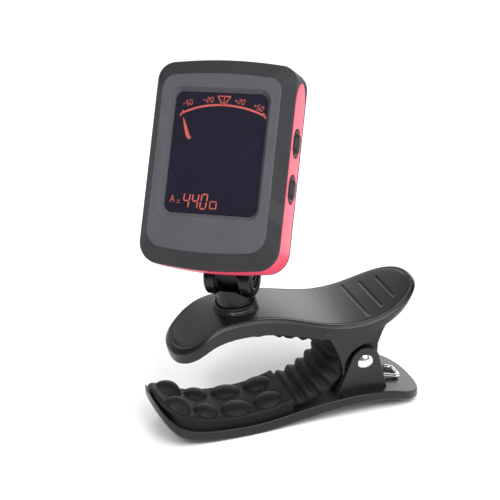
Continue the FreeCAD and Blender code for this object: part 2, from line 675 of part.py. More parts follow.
def make_button(height):
    cap = button_shape(height, 0.0, HEAD_HALF_WIDTH - 2.2, HEAD_HALF_WIDTH + 0.2)
    nub = button_shape(height, -0.9, HEAD_HALF_WIDTH - 0.5, HEAD_HALF_WIDTH + BUTTON_STAND_OUT)
    return union(cap, nub)


def make_display_window():
    flange = rounded_plate(SCREEN_HALF_WIDTH + 1.2, SCREEN_BOTTOM - 1.2, SCREEN_TOP + 1.2, -19.6, -18.7, 1.0)
    pane = rounded_plate(SCREEN_HALF_WIDTH - RUNNING_CLEARANCE, SCREEN_BOTTOM + RUNNING_CLEARANCE,
                         SCREEN_TOP - RUNNING_CLEARANCE, SCREEN_Y, -19.6, 1.0)
    return union(flange, pane)


def make_head_inside():
    """The display stack, board, cell, contacts and switches between bezel and rear cover."""
    parts["lcd_panel"] = box(-12.4, 12.4, -18.6, -17.2, 9.8, 43.0)
    parts["backlight_guide"] = box(-12.2, 12.2, -17.1, -16.0, 11.6, 42.6)
    parts["zebra_strip"] = box(-11.0, 11.0, -17.1, -15.2, 9.9, 11.3)
    parts["circuit_board"] = box(-13.0, 12.2, -15.1, -14.2, 8.0, 46.0)
    chips = [box(-4.5, 2.5, -14.1, -13.5, 9.5, 15.5), box(6.0, 9.0, -14.1, -13.4, 12.0, 14.5)]
    chips += [box(-11.0, -9.6, -14.1, -13.5, 12.0 + 3 * step, 12.8 + 3 * step) for step in range(3)]
    parts["board_chips"] = Part.makeCompound(chips)
    cell_rear = CELL_FRONT_Y + CELL_THICKNESS
    parts["coin_cell"] = rod(CELL_RADIUS, V(0, CELL_FRONT_Y, CELL_Z), V(0, cell_rear, CELL_Z))
    contact = box(-3.0, 3.0, -14.15, CELL_FRONT_Y - 0.05, CELL_Z - 8.0, CELL_Z + 8.0)
    parts["battery_contact_minus"] = contact.cut(box(-1.2, 1.2, -14.0, -13.0, CELL_Z - 6.0, CELL_Z + 6.0))
    clip_outer = box(-3.0, 3.0, -14.15, -10.5, CELL_Z + 10.15, CELL_Z + 12.5)
    parts["battery_contact_plus"] = clip_outer.cut(box(-4, 4, -13.9, -10.0, CELL_Z + 10.6, CELL_Z + 12.2))
    brass = rod(4.5, V(0, -10.0, 9.0), V(0, -9.85, 9.0))
    parts["piezo_disc"] = union(brass, rod(3.3, V(0, -10.25, 9.0), V(0, -10.0, 9.0)))
    for name, height in BUTTON_HEIGHTS.items():
        body = box(12.3, 14.6, -15.9, -12.9, height - 2.2, height + 2.2)
        stem = rod(0.8, V(14.6, BUTTON_Y + 0.3, height), V(15.3, BUTTON_Y + 0.3, height))
        parts[name.replace("button", "switch")] = body.fuse(stem)


# ---- assembly ----
parts["lower_lever"] = make_lower_lever()
parts["lower_jaw_pad"] = make_lower_pad()
parts["throat_bellows"] = make_bellows()
parts["pivot_pin"] = make_pivot_pin()
parts["pin_retainer"] = make_pin_retainer()
parts["torsion_spring"] = make_spring()
parts["upper_lever"] = make_upper_lever()
parts["upper_jaw_pad"] = make_upper_pad()
CLIP_NODES = list(parts)

parts["fork_post"] = make_fork_post()
parts["tilt_screw"] = make_tilt_screw()
parts["tilt_nut"] = make_tilt_nut()
parts["friction_washers"] = make_friction_washers()
parts["swivel_screw"] = make_swivel_screw()
parts["swivel_washer"] = make_swivel_washer()
NECK_NODES = [name for name in parts if name not in CLIP_NODES]

parts["front_bezel"] = make_front_bezel()
parts["rear_cover"] = make_rear_cover()
parts["side_trim"] = make_side_trim()
parts["display_window"] = make_display_window()
parts["battery_door"] = make_battery_door()
parts["case_screws"] = make_case_screws()
for button_name, button_height in BUTTON_HEIGHTS.items():
    parts[button_name] = make_button(button_height)
make_head_inside()

to_part = FreeCAD.Placement(PIVOT, Rotation())
os.makedirs("parts", exist_ok=True)
for node, shape in parts.items():
    if node in CLIP_NODES:
        frame = to_part
    elif node in NECK_NODES:
        frame = to_part.multiply(neck_placement())
    else:
        frame = to_part.multiply(head_placement())
    placed(shape, frame).exportStep(f"parts/{node}.step")
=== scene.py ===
"""Looks of the clip-on tuner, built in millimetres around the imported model.

Three drawing frames are used, all in millimetres. CLIP has its origin on the clip's pivot pin, with
+X towards the finger handles and +Z up. NECK and HEAD have theirs on the head's tilt hinge, with +X
to the right of the screen: +Z runs up the post in NECK and up the screen in HEAD, and -Y of HEAD
points out of the screen.
"""
import json
import math

import bmesh
import bpy
import numpy as np
from mathutils import Matrix, Vector


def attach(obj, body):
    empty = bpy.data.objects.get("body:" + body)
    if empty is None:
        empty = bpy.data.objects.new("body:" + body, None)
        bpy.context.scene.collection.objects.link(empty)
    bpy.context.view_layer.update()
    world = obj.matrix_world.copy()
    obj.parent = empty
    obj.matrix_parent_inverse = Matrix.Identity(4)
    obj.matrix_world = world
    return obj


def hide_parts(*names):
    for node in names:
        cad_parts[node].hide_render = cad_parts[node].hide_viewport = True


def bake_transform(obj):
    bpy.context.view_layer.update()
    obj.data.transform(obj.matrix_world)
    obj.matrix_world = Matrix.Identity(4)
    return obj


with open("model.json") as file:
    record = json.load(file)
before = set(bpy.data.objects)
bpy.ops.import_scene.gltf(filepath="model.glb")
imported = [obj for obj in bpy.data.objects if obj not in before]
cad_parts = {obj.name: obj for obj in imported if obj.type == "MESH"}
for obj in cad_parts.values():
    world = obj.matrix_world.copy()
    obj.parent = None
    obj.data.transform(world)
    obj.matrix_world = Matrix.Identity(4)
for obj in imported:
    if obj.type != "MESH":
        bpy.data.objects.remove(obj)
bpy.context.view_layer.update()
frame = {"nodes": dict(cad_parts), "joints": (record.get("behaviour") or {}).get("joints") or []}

MM = 0.001
JOINTS = {joint["name"]: joint for joint in frame["joints"]}


def drawing_frame(origin, x_axis, z_axis):
    """From millimetres in a frame of its own to the model's metres."""
    z_way = Vector(z_axis).normalized()
    x_way = Vector(x_axis).normalized()
    turn = Matrix((x_way, z_way.cross(x_way), z_way)).transposed().to_4x4()
    return Matrix.Translation(Vector(origin)) @ turn @ Matrix.Scale(MM, 4)


HINGE = JOINTS["head_tilt"]["pos_m"]
TILT_AXIS = JOINTS["head_tilt"]["axis"]
CLIP = drawing_frame(JOINTS["clip_hinge"]["pos_m"], (1, 0, 0), (0, 0, 1))
NECK = drawing_frame(HINGE, TILT_AXIS, JOINTS["post_swivel"]["axis"])
HEAD = drawing_frame(HINGE, TILT_AXIS, JOINTS["battery_door_slide"]["axis"])

# ---- clip sizes (mm), the CAD model's or close to them ----
# The rims, the pad's top and the bellows are knots of smooth curves in (x, z).
LOWER_RIM = [(-58.5, 3.6), (-56.2, -0.3), (-53.1, -5.0), (-50.2, -7.8), (-45.2, -9.9), (-38.3, -10.9),
             (-28.3, -11.1), (-16.2, -9.1), (-4.2, -7.7), (7.8, -8.9), (16.6, -11.911), (18.5, -12.8)]
LOWER_PAD_TOP = [(-58.0, 3.2), (-54.5, -0.6), (-50.0, -4.4), (-42.5, -7.4), (-34.4, -8.4),
                 (-25.8, -7.9), (-20.0, -6.6), (-17.0, -5.8)]
UPPER_RIM = [(-53.0, 8.9), (-50.0, 11.1), (-45.7, 13.7), (-39.6, 17.5), (-31.6, 18.6), (-19.6, 16.8),
             (-7.7, 13.7), (4.3, 14.6), (12.4, 17.7), (18.5, 20.4)]
BELLOWS_PATH = [(-20.2, -7.4), (-16.8, -6.0), (-14.0, -4.3), (-11.4, -2.4), (-9.0, 0.2), (-8.3, 2.9),
                (-8.9, 5.6), (-10.2, 7.8), (-12.2, 9.6)]
# A plan: x of the tip and of the end, half widths of jaw and handle, lengths of the rounded ends.
LOWER_PLAN = (-56.0, 16.6, 9.8, 11.7, 5.6, 7.6)
UPPER_PLAN = (-50.0, 16.3, 10.0, 12.6, 8.5, 15.0)
RIM = 0.9
PAD_GAP = 0.4
PAD_HALF_WIDTH = 9.3
BELLOWS_HALF_WIDTH = 8.6
PAD_END_X = -20.3
TRAY_DEPTH = 1.2
TRAY_END_X = -6.8
# Grip domes: x of the middle, half length, half width, height.
DOMES = [(-49.6, 3.1, 3.2, 2.5), (-42.4, 3.1, 3.1, 1.5), (-34.4, 4.0, 3.3, 1.4), (-25.8, 3.7, 3.3, 1.3)]
DOME_Y = 4.5
PAD_CROWN = 0.35
UPPER_DOMES = [(-42.6, 2.6, 2.6, 0.9), (-35.4, 2.9, 2.6, 0.9), (-28.0, 2.9, 2.6, 0.9),
               (-19.5, 2.9, 2.6, 0.9)]
UPPER_DOME_Y = 4.9
# Start and end x, inset from the jaw's outline, and how far it stands proud of the jaw.
UPPER_PAD = (-47.7, -14.0, 2.2, 0.8)
# Finger grooves across the handle: x, half length.
GROOVES = [(0.7, 9.3), (5.0, 7.6), (9.0, 6.0)]
EAR_RADIUS, EAR_IN, EAR_OUT = 4.1, 6.7, 8.7
LUG_IN, LUG_OUT = 4.4, 6.5
CHEEK_IN, CHEEK_OUT = 8.9, 11.0
NOTCH_RADIUS = 6.8
PIN_RADIUS = 1.5
CUT_IN, CUT_OUT = 5, 20
UPPER_BEAD = [(1.75, 0.0), (1.6, 0.02), (1.45, 0.12), (1.3, 0.12), (1.15, 0.0), (1.0, -0.03),
              (0.86, 0.02), (0.1, 0.72), (0.0, 0.9)]
CHEEK_LEFT = [(-7.3, -1.2), (-7.2, 0.4), (-7.9, 3.6), (-9.3, 7.4), (-10.6, 9.8), (-12.6, 12.9)]
CHEEK_RIGHT = [(-7.3, -1.2), (-4.4, 0.6), (0.0, 1.0), (1.4, 3.2), (4.2, 10.2), (5.2, 12.9)]
WIDENING_LENGTH = 30
ROUND_POWER = 2.3

# ---- neck and head sizes (mm), the CAD model's or close to them ----
# Profiles turned about the post's axis, as (radius, height).
BOSS = [(0, -11.5), (6.2, -11.5), (5.95, -8.8), (5.6, -8.35), (5.75, -8.2), (5.8, -7.95), (5.65, -7.8),
        (5.4, -7.7), (5.4, -7.4), (5.6, -7.25), (5.6, -6.95), (5.45, -6.8), (0, -6.8)]
SWIVEL_SEAT = [(0, -8.9), (5.08, -8.9), (5.08, -5.0), (0, -5.0)]
SWIVEL_HOLE = [(0, -20.0), (3.0, -20.0), (3.0, -10.3), (1.5, -10.3), (1.5, -7.0), (0, -7.0)]
HEAD_HALF_WIDTH = 17.95
HEAD_BOTTOM = -0.9
HEAD_TOP = 50.55
FRONT_Y, CHAMFER_FOOT_Y, SPLIT_Y, REAR_EDGE_Y, REAR_Y = -22.2, -19.2, -14.6, -10.2, -8.2
SCREEN_HALF_WIDTH, SCREEN_BOTTOM, SCREEN_TOP, SCREEN_Y = 11.8, 12.5, 42.0, -20.7
TRIM_MIDDLE_Y, TRIM_HALF, TRIM_DEPTH, TRIM_TOP = -14.75, 3.75, 0.85, 46.3
CORNER_LOW, CORNER_HIGH, END_BOW = 5.5, 4.5, 0.8
WALL, LIP = 1.6, 0.12
FRONT_INNER_Y, REAR_INNER_Y = -18.9, -9.8
BUTTONS = {"power_button": 31.6, "pitch_button": 20.5}
BUTTON_Y, BUTTON_HALF_WIDTH, BUTTON_HALF_HEIGHT = -14.8, 2.3, 3.4


# ---- curves ----
def lengths_along(points):
    """Length of the line up to each of its points."""
    return np.concatenate([[0.0], np.cumsum(np.linalg.norm(np.diff(points, axis=0), axis=1))])


def unit_normals(points):
    along = np.gradient(points, axis=0)
    normals = np.stack([-along[:, 1], along[:, 0]], axis=1)
    return normals / np.linalg.norm(normals, axis=1)[:, None]


def spline_points(knots, count):
    """Points of the smooth natural cubic curve through the knots, by chord length."""
    knots = np.array(knots, float)
    steps = np.linalg.norm(np.diff(knots, axis=0), axis=1)
    at = lengths_along(knots)
    size = len(knots)
    matrix = np.eye(size)
    right = np.zeros_like(knots)
    slopes = np.diff(knots, axis=0) / steps[:, None]
    for k in range(1, size - 1):
        matrix[k, k - 1:k + 2] = steps[k - 1], 2 * (steps[k - 1] + steps[k]), steps[k]
        right[k] = 6 * (slopes[k] - slopes[k - 1])
    bend = np.linalg.solve(matrix, right)
    where = np.linspace(0, at[-1], count)
    k = np.clip(np.searchsorted(at, where) - 1, 0, size - 2)
    h = steps[k][:, None]
    before = (at[k + 1] - where)[:, None]
    after = (where - at[k])[:, None]
    low, high = knots[k], knots[k + 1]
    curve = (bend[k] * before ** 3 + bend[k + 1] * after ** 3) / (6 * h)
    return curve + (low / h - bend[k] * h / 6) * before + (high / h - bend[k + 1] * h / 6) * after


def height_curve(knots):
    points = spline_points(knots, 600)
    return lambda x: np.interp(x, points[:, 0], points[:, 1])


lower_rim = height_curve(LOWER_RIM)
upper_rim = height_curve(UPPER_RIM)
lower_pad_top = height_curve(LOWER_PAD_TOP)


def plan_width(x, plan, inset=0.0):
    """Half width of a lever at x: a rounded jaw that widens to a rounded handle."""
    tip, end, jaw_half, handle_half, tip_length, end_length = plan
    low, high = tip + inset, end - inset
    share = np.clip((x + WIDENING_LENGTH) / WIDENING_LENGTH, 0, 1)
    width = jaw_half + (handle_half - jaw_half) * (1 - np.cos(np.pi * share)) / 2 - inset
    for near in ((low + tip_length - x) / tip_length, (x - high + end_length) / end_length):
        width = width * np.clip(1 - np.clip(near, 0, 1) ** ROUND_POWER, 0, 1) ** (1 / ROUND_POWER)
    return width


def tangent_angle(x, z, radius, side):
    """Where a straight line from (x, z) touches a circle about the pin."""
    return math.atan2(z, x) + side * math.acos(radius / math.hypot(x, z))


def even_steps(points, step):
    """The same line with its points spaced evenly."""
    points = np.array(points, float)
    gone = lengths_along(points)
    where = np.linspace(0, gone[-1], max(2, round(gone[-1] / step)) + 1)
    return np.stack([np.interp(where, gone, points[:, k]) for k in range(points.shape[1])], axis=1)


def half_plan(plan, step):
    """Half of a lever's outline seen from above, from its tip to its end, with outward normals."""
    low, high = plan[0], plan[1]
    x = (low + high) / 2 - (high - low) / 2 * np.cos(np.linspace(0, np.pi, 1500))
    points = even_steps(np.stack([x, plan_width(x, plan)], axis=1), step)
    normals = unit_normals(points)
    normals[0], normals[-1] = (-1, 0), (1, 0)
    return points, normals


# ---- mesh tools ----
def add_object(name, data):
    piece = bpy.data.objects.new(name, data)
    bpy.context.scene.collection.objects.link(piece)
    return piece


def make_object(name, points, faces, place):
    mesh = bpy.data.meshes.new(name)
    mesh.from_pydata([tuple(point) for point in points], [], faces)
    work = bmesh.new()
    work.from_mesh(mesh)
    bmesh.ops.remove_doubles(work, verts=work.verts, dist=1e-5)
    bmesh.ops.dissolve_degenerate(work, edges=work.edges, dist=1e-5)
    bmesh.ops.recalc_face_normals(work, faces=work.faces)
    work.to_mesh(mesh)
    work.free()
    mesh.transform(place)
    return add_object(name, mesh)


def ring_faces(count, size, wrap):
    faces = []
    for level in range(count if wrap else count - 1):
        here, there = level * size, (level + 1) % count * size
        for k in range(size):
            after = (k + 1) % size
            faces.append((here + k, here + after, there + after, there + k))
    if not wrap:
        faces.append(tuple(range(size - 1, -1, -1)))
        faces.append(tuple(range((count - 1) * size, count * size)))
    return faces


def loft(name, rings, place, wrap=False):
    """A closed solid through rings of equally many points, wrapped round or capped at both ends."""
    points = [point for ring in rings for point in ring]
    return make_object(name, points, ring_faces(len(rings), len(rings[0]), wrap), place)


def prism_y(name, outline, y0, y1, place):
    return loft(name, [[(x, y, z) for x, z in outline] for y in (y0, y1)], place)


def side_prism(name, outline, side, y_in, y_out):
    return prism_y(name, outline, side * y_in, side * y_out, CLIP)


def soft_prism(name, outline, y0, y1, soft, place):
    """A prism along Y of a convex outline, its two faces' edges rounded off."""
    points = np.array(outline)
    before, after = np.roll(points, 1, axis=0), np.roll(points, -1, axis=0)
    inward = (before - points) / np.linalg.norm(before - points, axis=1)[:, None]
    inward = inward + (after - points) / np.linalg.norm(after - points, axis=1)[:, None]
    inward /= np.maximum(np.linalg.norm(inward, axis=1), 1e-6)[:, None]
    way = math.copysign(1, y1 - y0)
    rings = []
    for end, turn in ((y0, 1), (y1, -1)):
        for angle in np.linspace(0, math.pi / 2, 5)[::turn]:
            ring = points + inward * soft * (1 - math.sin(angle))
            y = end + way * turn * soft * (1 - math.cos(angle))
            rings.append([(x, y, z) for x, z in ring])
    return loft(name, rings, place)


def circle(radius, count=48, centre=(0.0, 0.0)):
    angles = np.linspace(0, 2 * np.pi, count, endpoint=False)
    return [(centre[0] + radius * math.cos(a), centre[1] + radius * math.sin(a)) for a in angles]


def turned(name, profile, place, count=72):
    """A solid of revolution about Z from (radius, height) points."""
    rings = [[(r * x, r * y, z) for x, y in circle(1.0, count)] for r, z in profile]
    return loft(name, rings, place)


def applied(piece):
    """Makes what the piece's modifiers show its own mesh."""
    graph = bpy.context.evaluated_depsgraph_get()
    mesh = bpy.data.meshes.new_from_object(piece.evaluated_get(graph))
    old = piece.data
    piece.modifiers.clear()
    piece.data = mesh
    bpy.data.meshes.remove(old)
    return piece


def drop(piece):
    mesh = piece.data
    bpy.data.objects.remove(piece)
    bpy.data.meshes.remove(mesh)


def boolean(piece, tools, operation="DIFFERENCE"):
    for tool in tools:
        change = piece.modifiers.new("cut", "BOOLEAN")
        change.operation = operation
        change.solver = "EXACT"
        change.object = tool
        applied(piece)
        drop(tool)
    return piece


def joined(name, pieces):
    """Several closed meshes put in one object."""
    work = bmesh.new()
    for piece in pieces:
        work.from_mesh(piece.data)
        drop(piece)
    mesh = bpy.data.meshes.new(name)
    work.to_mesh(mesh)
    work.free()
    return add_object(name, mesh)


def relax(mesh, rounds):
    """Moves each point half way to the middle of its neighbours, which rounds the edges."""
    size = len(mesh.vertices)
    points = np.empty(size * 3)
    mesh.vertices.foreach_get("co", points)
    points = points.reshape(-1, 3)
    edges = np.empty(len(mesh.edges) * 2, int)
    mesh.edges.foreach_get("vertices", edges)
    edges = edges.reshape(-1, 2)
    one, two = np.concatenate([edges, edges[:, ::-1]]).T
    count = np.maximum(np.bincount(one, minlength=size), 1)
    for _ in range(rounds):
        middle = [np.bincount(one, weights=points[two, k], minlength=size) / count for k in range(3)]
        points = (points + np.stack(middle, axis=1)) / 2
    mesh.vertices.foreach_set("co", points.ravel())
    mesh.update()


def moulded(piece, voxel, rounds):
    """Welds overlapping solids into one skin with softly rounded edges and corners."""
    skin = piece.modifiers.new("skin", "REMESH")
    skin.mode = "VOXEL"
    skin.voxel_size = voxel * MM
    applied(piece)
    relax(piece.data, rounds)
    return piece


def shade(piece, angle):
    mesh = piece.data
    mesh.polygons.foreach_set("use_smooth", [True] * len(mesh.polygons))
    mesh.set_sharp_from_angle(angle=math.radians(angle))
    weigh = piece.modifiers.new("weigh", "WEIGHTED_NORMAL")
    weigh.keep_sharp = True


def finished(piece, body, material, slot, *nodes, angle=35.0):
    piece.data.materials.clear()
    piece.data.materials.append(material)
    shade(piece, angle)
    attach(piece, body)
    if nodes:
        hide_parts(*nodes)


def bending(piece, material, node):
    """Finishes a piece that runs between the two levers: gives it its material and smooth shading, bakes
    its place into its mesh and hides the CAD node it stands for.
    """
    piece.data.materials.append(material)
    shade(piece, 60)
    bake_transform(piece)
    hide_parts(node)


# ---- materials ----
def noise(tree, place, scale, detail, roughness=0.5):
    node = tree.nodes.new("ShaderNodeTexNoise")
    node.inputs["Scale"].default_value = scale
    node.inputs["Detail"].default_value = detail
    node.inputs["Roughness"].default_value = roughness
    tree.links.new(place, node.inputs["Vector"])
    return node.outputs["Fac"]


def ranged(tree, value, low, high, start=0.3, end=0.7):
    node = tree.nodes.new("ShaderNodeMapRange")
    node.inputs["From Min"].default_value = start
    node.inputs["From Max"].default_value = end
    node.inputs["To Min"].default_value = low
    node.inputs["To Max"].default_value = high
    tree.links.new(value, node.inputs["Value"])
    return node.outputs["Result"]


def mixed(tree, share, colour_a, colour_b):
    node = tree.nodes.new("ShaderNodeMix")
    node.data_type = "RGBA"
    tree.links.new(share, node.inputs["Factor"])
    for socket, colour in ((node.inputs["A"], colour_a), (node.inputs["B"], colour_b)):
        if isinstance(colour, tuple):
            socket.default_value = (*colour, 1)
        else:
            tree.links.new(colour, socket)
    return node.outputs["Result"]


def surface(name, colours, roughness, grain, patch=180.0, edge=None, plain=None):
    """A procedural material.

    colours are two colours that drift into each other in soft patches, finer for a higher patch.
    roughness is a low and a high value. grain is a list of (size in mm, depth in mm) layers of fine
    relief. edge is a lighter colour on convex edges, partly wear and partly a painted highlight along
    the rims. plain holds values that are the same all over.
    """
    material = bpy.data.materials.new(name)
    material.use_nodes = True
    tree = material.node_tree
    shader = tree.nodes["Principled BSDF"]
    place = tree.nodes.new("ShaderNodeTexCoord").outputs["Object"]
    colour = mixed(tree, ranged(tree, noise(tree, place, patch, 4.0), 0.0, 1.0), *colours)
    if edge:
        # Convex edges, found by pointiness, are lightened: partly wear, partly a painted highlight along
        # the rims.
        wear_and_highlight_start, wear_and_highlight_full, most_wear_and_highlight = 0.505, 0.58, 0.6
        point = tree.nodes.new("ShaderNodeNewGeometry").outputs["Pointiness"]
        colour = mixed(tree, ranged(tree, point, 0.0, most_wear_and_highlight, wear_and_highlight_start, wear_and_highlight_full), colour, edge)
    tree.links.new(colour, shader.inputs["Base Color"])
    rough = ranged(tree, noise(tree, place, patch * 6, 5.0, 0.6), *roughness)
    tree.links.new(rough, shader.inputs["Roughness"])
    normal = None
    for size, depth in grain:
        bump = tree.nodes.new("ShaderNodeBump")
        bump.inputs["Strength"].default_value = 1.0
        bump.inputs["Distance"].default_value = depth * MM
        tree.links.new(noise(tree, place, 1 / (size * MM), 3.0, 0.55), bump.inputs["Height"])
        if normal:
            tree.links.new(normal, bump.inputs["Normal"])
        normal = bump.outputs["Normal"]
    if normal:
        tree.links.new(normal, shader.inputs["Normal"])
    for socket, value in (plain or {}).items():
        shader.inputs[socket].default_value = value
    return material


def specular(level):
    return {"Specular IOR Level": level}


METAL = {"Metallic": 1.0}
CASE_GRAIN = [(0.16, 0.01), (0.5, 0.006)]

# Each edge colour is lighter than its base: partly wear, partly a painted highlight on convex edges.
SATIN = surface("satin_abs", ((0.006, 0.006, 0.0078), (0.008, 0.008, 0.01)), (0.3, 0.37),
                [(0.22, 0.008), (0.7, 0.005)], edge=(0.02, 0.02, 0.023), plain=specular(0.35))
GLOSS = surface("polished_abs", ((0.003, 0.003, 0.0038), (0.0045, 0.0045, 0.0054)), (0.2, 0.28),
                [(0.5, 0.003)], edge=(0.015, 0.015, 0.017), plain=specular(0.32))
CASE = surface("case_abs", ((0.056, 0.055, 0.066), (0.064, 0.063, 0.074)), (0.48, 0.58),
               CASE_GRAIN, edge=(0.068, 0.068, 0.075), plain=specular(0.27))
# A darker copy of the case grey: on the bezel's chamfers and sides it is painted shade; the rear cover is
# this dark all over.
CASE_DARK_AND_SHADE = surface("case_dark_and_shade_abs", ((0.015, 0.0148, 0.0175), (0.019, 0.0188, 0.0215)),
                    (0.48, 0.58), CASE_GRAIN, edge=(0.034, 0.034, 0.037), plain=specular(0.27))
TRIM = surface("red_trim", ((0.78, 0.068, 0.125), (0.84, 0.082, 0.145)), (0.3, 0.38),
               [(0.4, 0.004)], plain=specular(0.4))
RUBBER = surface("moulded_rubber", ((0.004, 0.004, 0.0048), (0.0062, 0.0062, 0.007)),
                 (0.55, 0.7), [(0.14, 0.01), (0.6, 0.008)], edge=(0.013, 0.013, 0.015),
                 plain=specular(0.22))
KEY_RUBBER = surface("key_rubber", ((0.005, 0.005, 0.006), (0.008, 0.008, 0.009)), (0.4, 0.5),
                     [(0.2, 0.004)], plain=specular(0.3))
BLACK_STEEL = surface("blackened_steel", ((0.03, 0.03, 0.032), (0.045, 0.045, 0.048)),
                      (0.3, 0.42), [(0.25, 0.003)], plain=METAL)
WINDOW = surface("smoked_acrylic", ((0.0085, 0.0075, 0.016), (0.011, 0.0095, 0.02)), (0.1, 0.16),
                 [(6.0, 0.004)])
STEEL = surface("plated_steel", ((0.72, 0.71, 0.69), (0.8, 0.79, 0.77)), (0.14, 0.24),
                [(0.3, 0.002)], plain=METAL)
ZINC = surface("zinc_steel", ((0.5, 0.51, 0.53), (0.6, 0.6, 0.61)), (0.28, 0.42),
               [(0.25, 0.004)], plain=METAL)
BRASS = surface("brass", ((0.72, 0.5, 0.22), (0.8, 0.58, 0.28)), (0.25, 0.38),
                [(0.3, 0.003)], plain=METAL)
BOARD = surface("solder_mask", ((0.01, 0.12, 0.045), (0.016, 0.16, 0.06)), (0.3, 0.42), [(0.6, 0.01)])
EPOXY = surface("chip_epoxy", ((0.012, 0.012, 0.013), (0.02, 0.02, 0.021)), (0.5, 0.65), [(0.15, 0.01)])
GUIDE = surface("milky_acrylic", ((0.72, 0.72, 0.7), (0.8, 0.8, 0.78)), (0.25, 0.35), [(0.5, 0.004)])
GLASS = surface("display_glass", ((0.05, 0.05, 0.07), (0.07, 0.07, 0.09)), (0.06, 0.12), [(2.0, 0.001)])
NYLON = surface("nylon", ((0.012, 0.012, 0.013), (0.018, 0.018, 0.019)), (0.45, 0.55), [(0.3, 0.006)])
GLOW = surface("lit_segments", ((0.34, 0.05, 0.034), (0.4, 0.062, 0.042)), (0.4, 0.5), [(0.5, 0.001)],
               plain={"Emission Color": (1.0, 0.14, 0.09, 1), "Emission Strength": 0.02})


# ---- levers ----
def edge_round(radius, steps):
    """(inset, drop) pairs of a quarter round from the flat top to the side."""
    angles = np.linspace(0, np.pi / 2, steps + 1)
    return [(radius * (1 - math.sin(a)), radius * (1 - math.cos(a))) for a in angles]


def plate(name, plan, levels, height, crown, place):
    """A lever plate. levels are (inset, drop function) loops from the top's edge to the underside's."""
    points, normals = half_plan(plan, 0.5)
    last = len(points) - 1
    vertices = []
    for inset, drop_at in levels:
        ring = points - normals * inset
        ring[0, 1] = ring[-1, 1] = 0
        z = height(ring[:, 0]) - drop_at(ring[:, 0])
        near = [(x, y, h) for (x, y), h in zip(ring, z)]
        far = [(x, -y, h) for x, y, h in near[last - 1:0:-1]]
        vertices += near + far
    size = 2 * last
    underside = (len(levels) - 1) * size
    faces = ring_faces(len(levels), size, False)[:-2]
    across = 14
    for start, bulge in ((0, crown), (underside, 0.0)):
        rows = []
        for k in range(1, last):
            one, two = np.array(vertices[start + k]), np.array(vertices[start + size - k])
            row = [start + k]
            for step in range(1, across):
                share = step / across
                x, y, z = one * (1 - share) + two * share
                row.append(len(vertices))
                vertices.append((x, y, z + bulge * (1 - (2 * share - 1) ** 2)))
            rows.append(row + [start + size - k])
        for row, following in zip(rows, rows[1:]):
            for a, b, c, d in zip(row, row[1:], following[1:], following):
                faces.append((a, b, c, d))
        for tip, row in ((start, rows[0]), (start + last, rows[-1])):
            faces += [(tip, a, b) for a, b in zip(row, row[1:])]
    return make_object(name, vertices, faces, place)


def upper_thickness(x):
    tip, growth, growth_length = 4.0, 0.7, 12
    full, thinning, thin_from, thin_length = 4.7, 2.5, -14, 30
    x = np.asarray(x, float)
    jaw = tip + growth * np.clip((x - UPPER_PLAN[0]) / growth_length, 0, 1)
    return np.where(x < thin_from, jaw, full - thinning * (x - thin_from) / thin_length)


def constant(value):
    return lambda x: np.zeros_like(x) + value


def under(thickness, value):
    return lambda x: thickness(x) - value


def z_rings(outline_left, outline_right, y_in, y_out_at, side):
    """Rings of a wall at rising heights, its outer face following y_out_at(z)."""
    left, right = np.array(outline_left), np.array(outline_right)
    rings = []
    for z in np.linspace(left[0, 1], left[-1, 1], 40):
        x0 = np.interp(z, left[:, 1], left[:, 0])
        x1 = max(np.interp(z, right[:, 1], right[:, 0]), x0 + 0.05)
        out = y_out_at(z)
        rings.append([(x0, side * y_in, z), (x1, side * y_in, z), (x1, side * out, z), (x0, side * out, z)])
    return rings


def handle_grooves():
    """Cutters for the finger grooves."""
    radius, tip_radius, tip_length, lift = 0.45, 0.1, 0.35, 0.22
    grooves = []
    for x, half_length in GROOVES:
        z = float(upper_rim(x)) + lift
        ends = [(-half_length - tip_length, tip_radius), (-half_length, radius), (half_length, radius),
                (half_length + tip_length, tip_radius)]
        rings = [[(x + r * a, y, z + r * b) for a, b in circle(1.0, 20)] for y, r in ends]
        grooves.append(loft("groove", rings, CLIP))
    return grooves


def cheek_outer(z):
    """A cheek flares where it runs up into the lever."""
    flare, start, length = 0.7, 8.3, 3.5
    return CHEEK_OUT + flare * np.clip((z - start) / length, 0, 1) ** 2


def make_cheek(side):
    """A side wall beside the pin, cut back round the lower lever's ear."""
    flank_outline = [(-4.35, 1.7), (-7.6, -1.6), (-3.0, -6.0), (2.0, 0.0)]
    cheek = loft("cheek", z_rings(CHEEK_LEFT, CHEEK_RIGHT, CHEEK_IN, cheek_outer, side), CLIP)
    notch = side_prism("notch", circle(NOTCH_RADIUS), side, CUT_IN, CUT_OUT)
    flank = side_prism("flank", flank_outline, side, CUT_IN, CUT_OUT)
    return boolean(cheek, [notch, flank])


def make_lug(side):
    """The hub on the pin and the web that carries it."""
    radius, bore_in, bore_out = 4.2, 3, 8
    web_outline = [(-radius, 0), (-7.0, 12.6), (5.4, 12.6), (radius, 0)]
    hub = side_prism("hub", circle(radius), side, LUG_IN, LUG_OUT)
    web = side_prism("web", web_outline, side, LUG_IN, LUG_OUT)
    bores = [side_prism("bore", circle(PIN_RADIUS + 0.1), side, bore_in, bore_out) for _ in range(2)]
    return [boolean(hub, bores[:1]), boolean(web, bores[1:])]


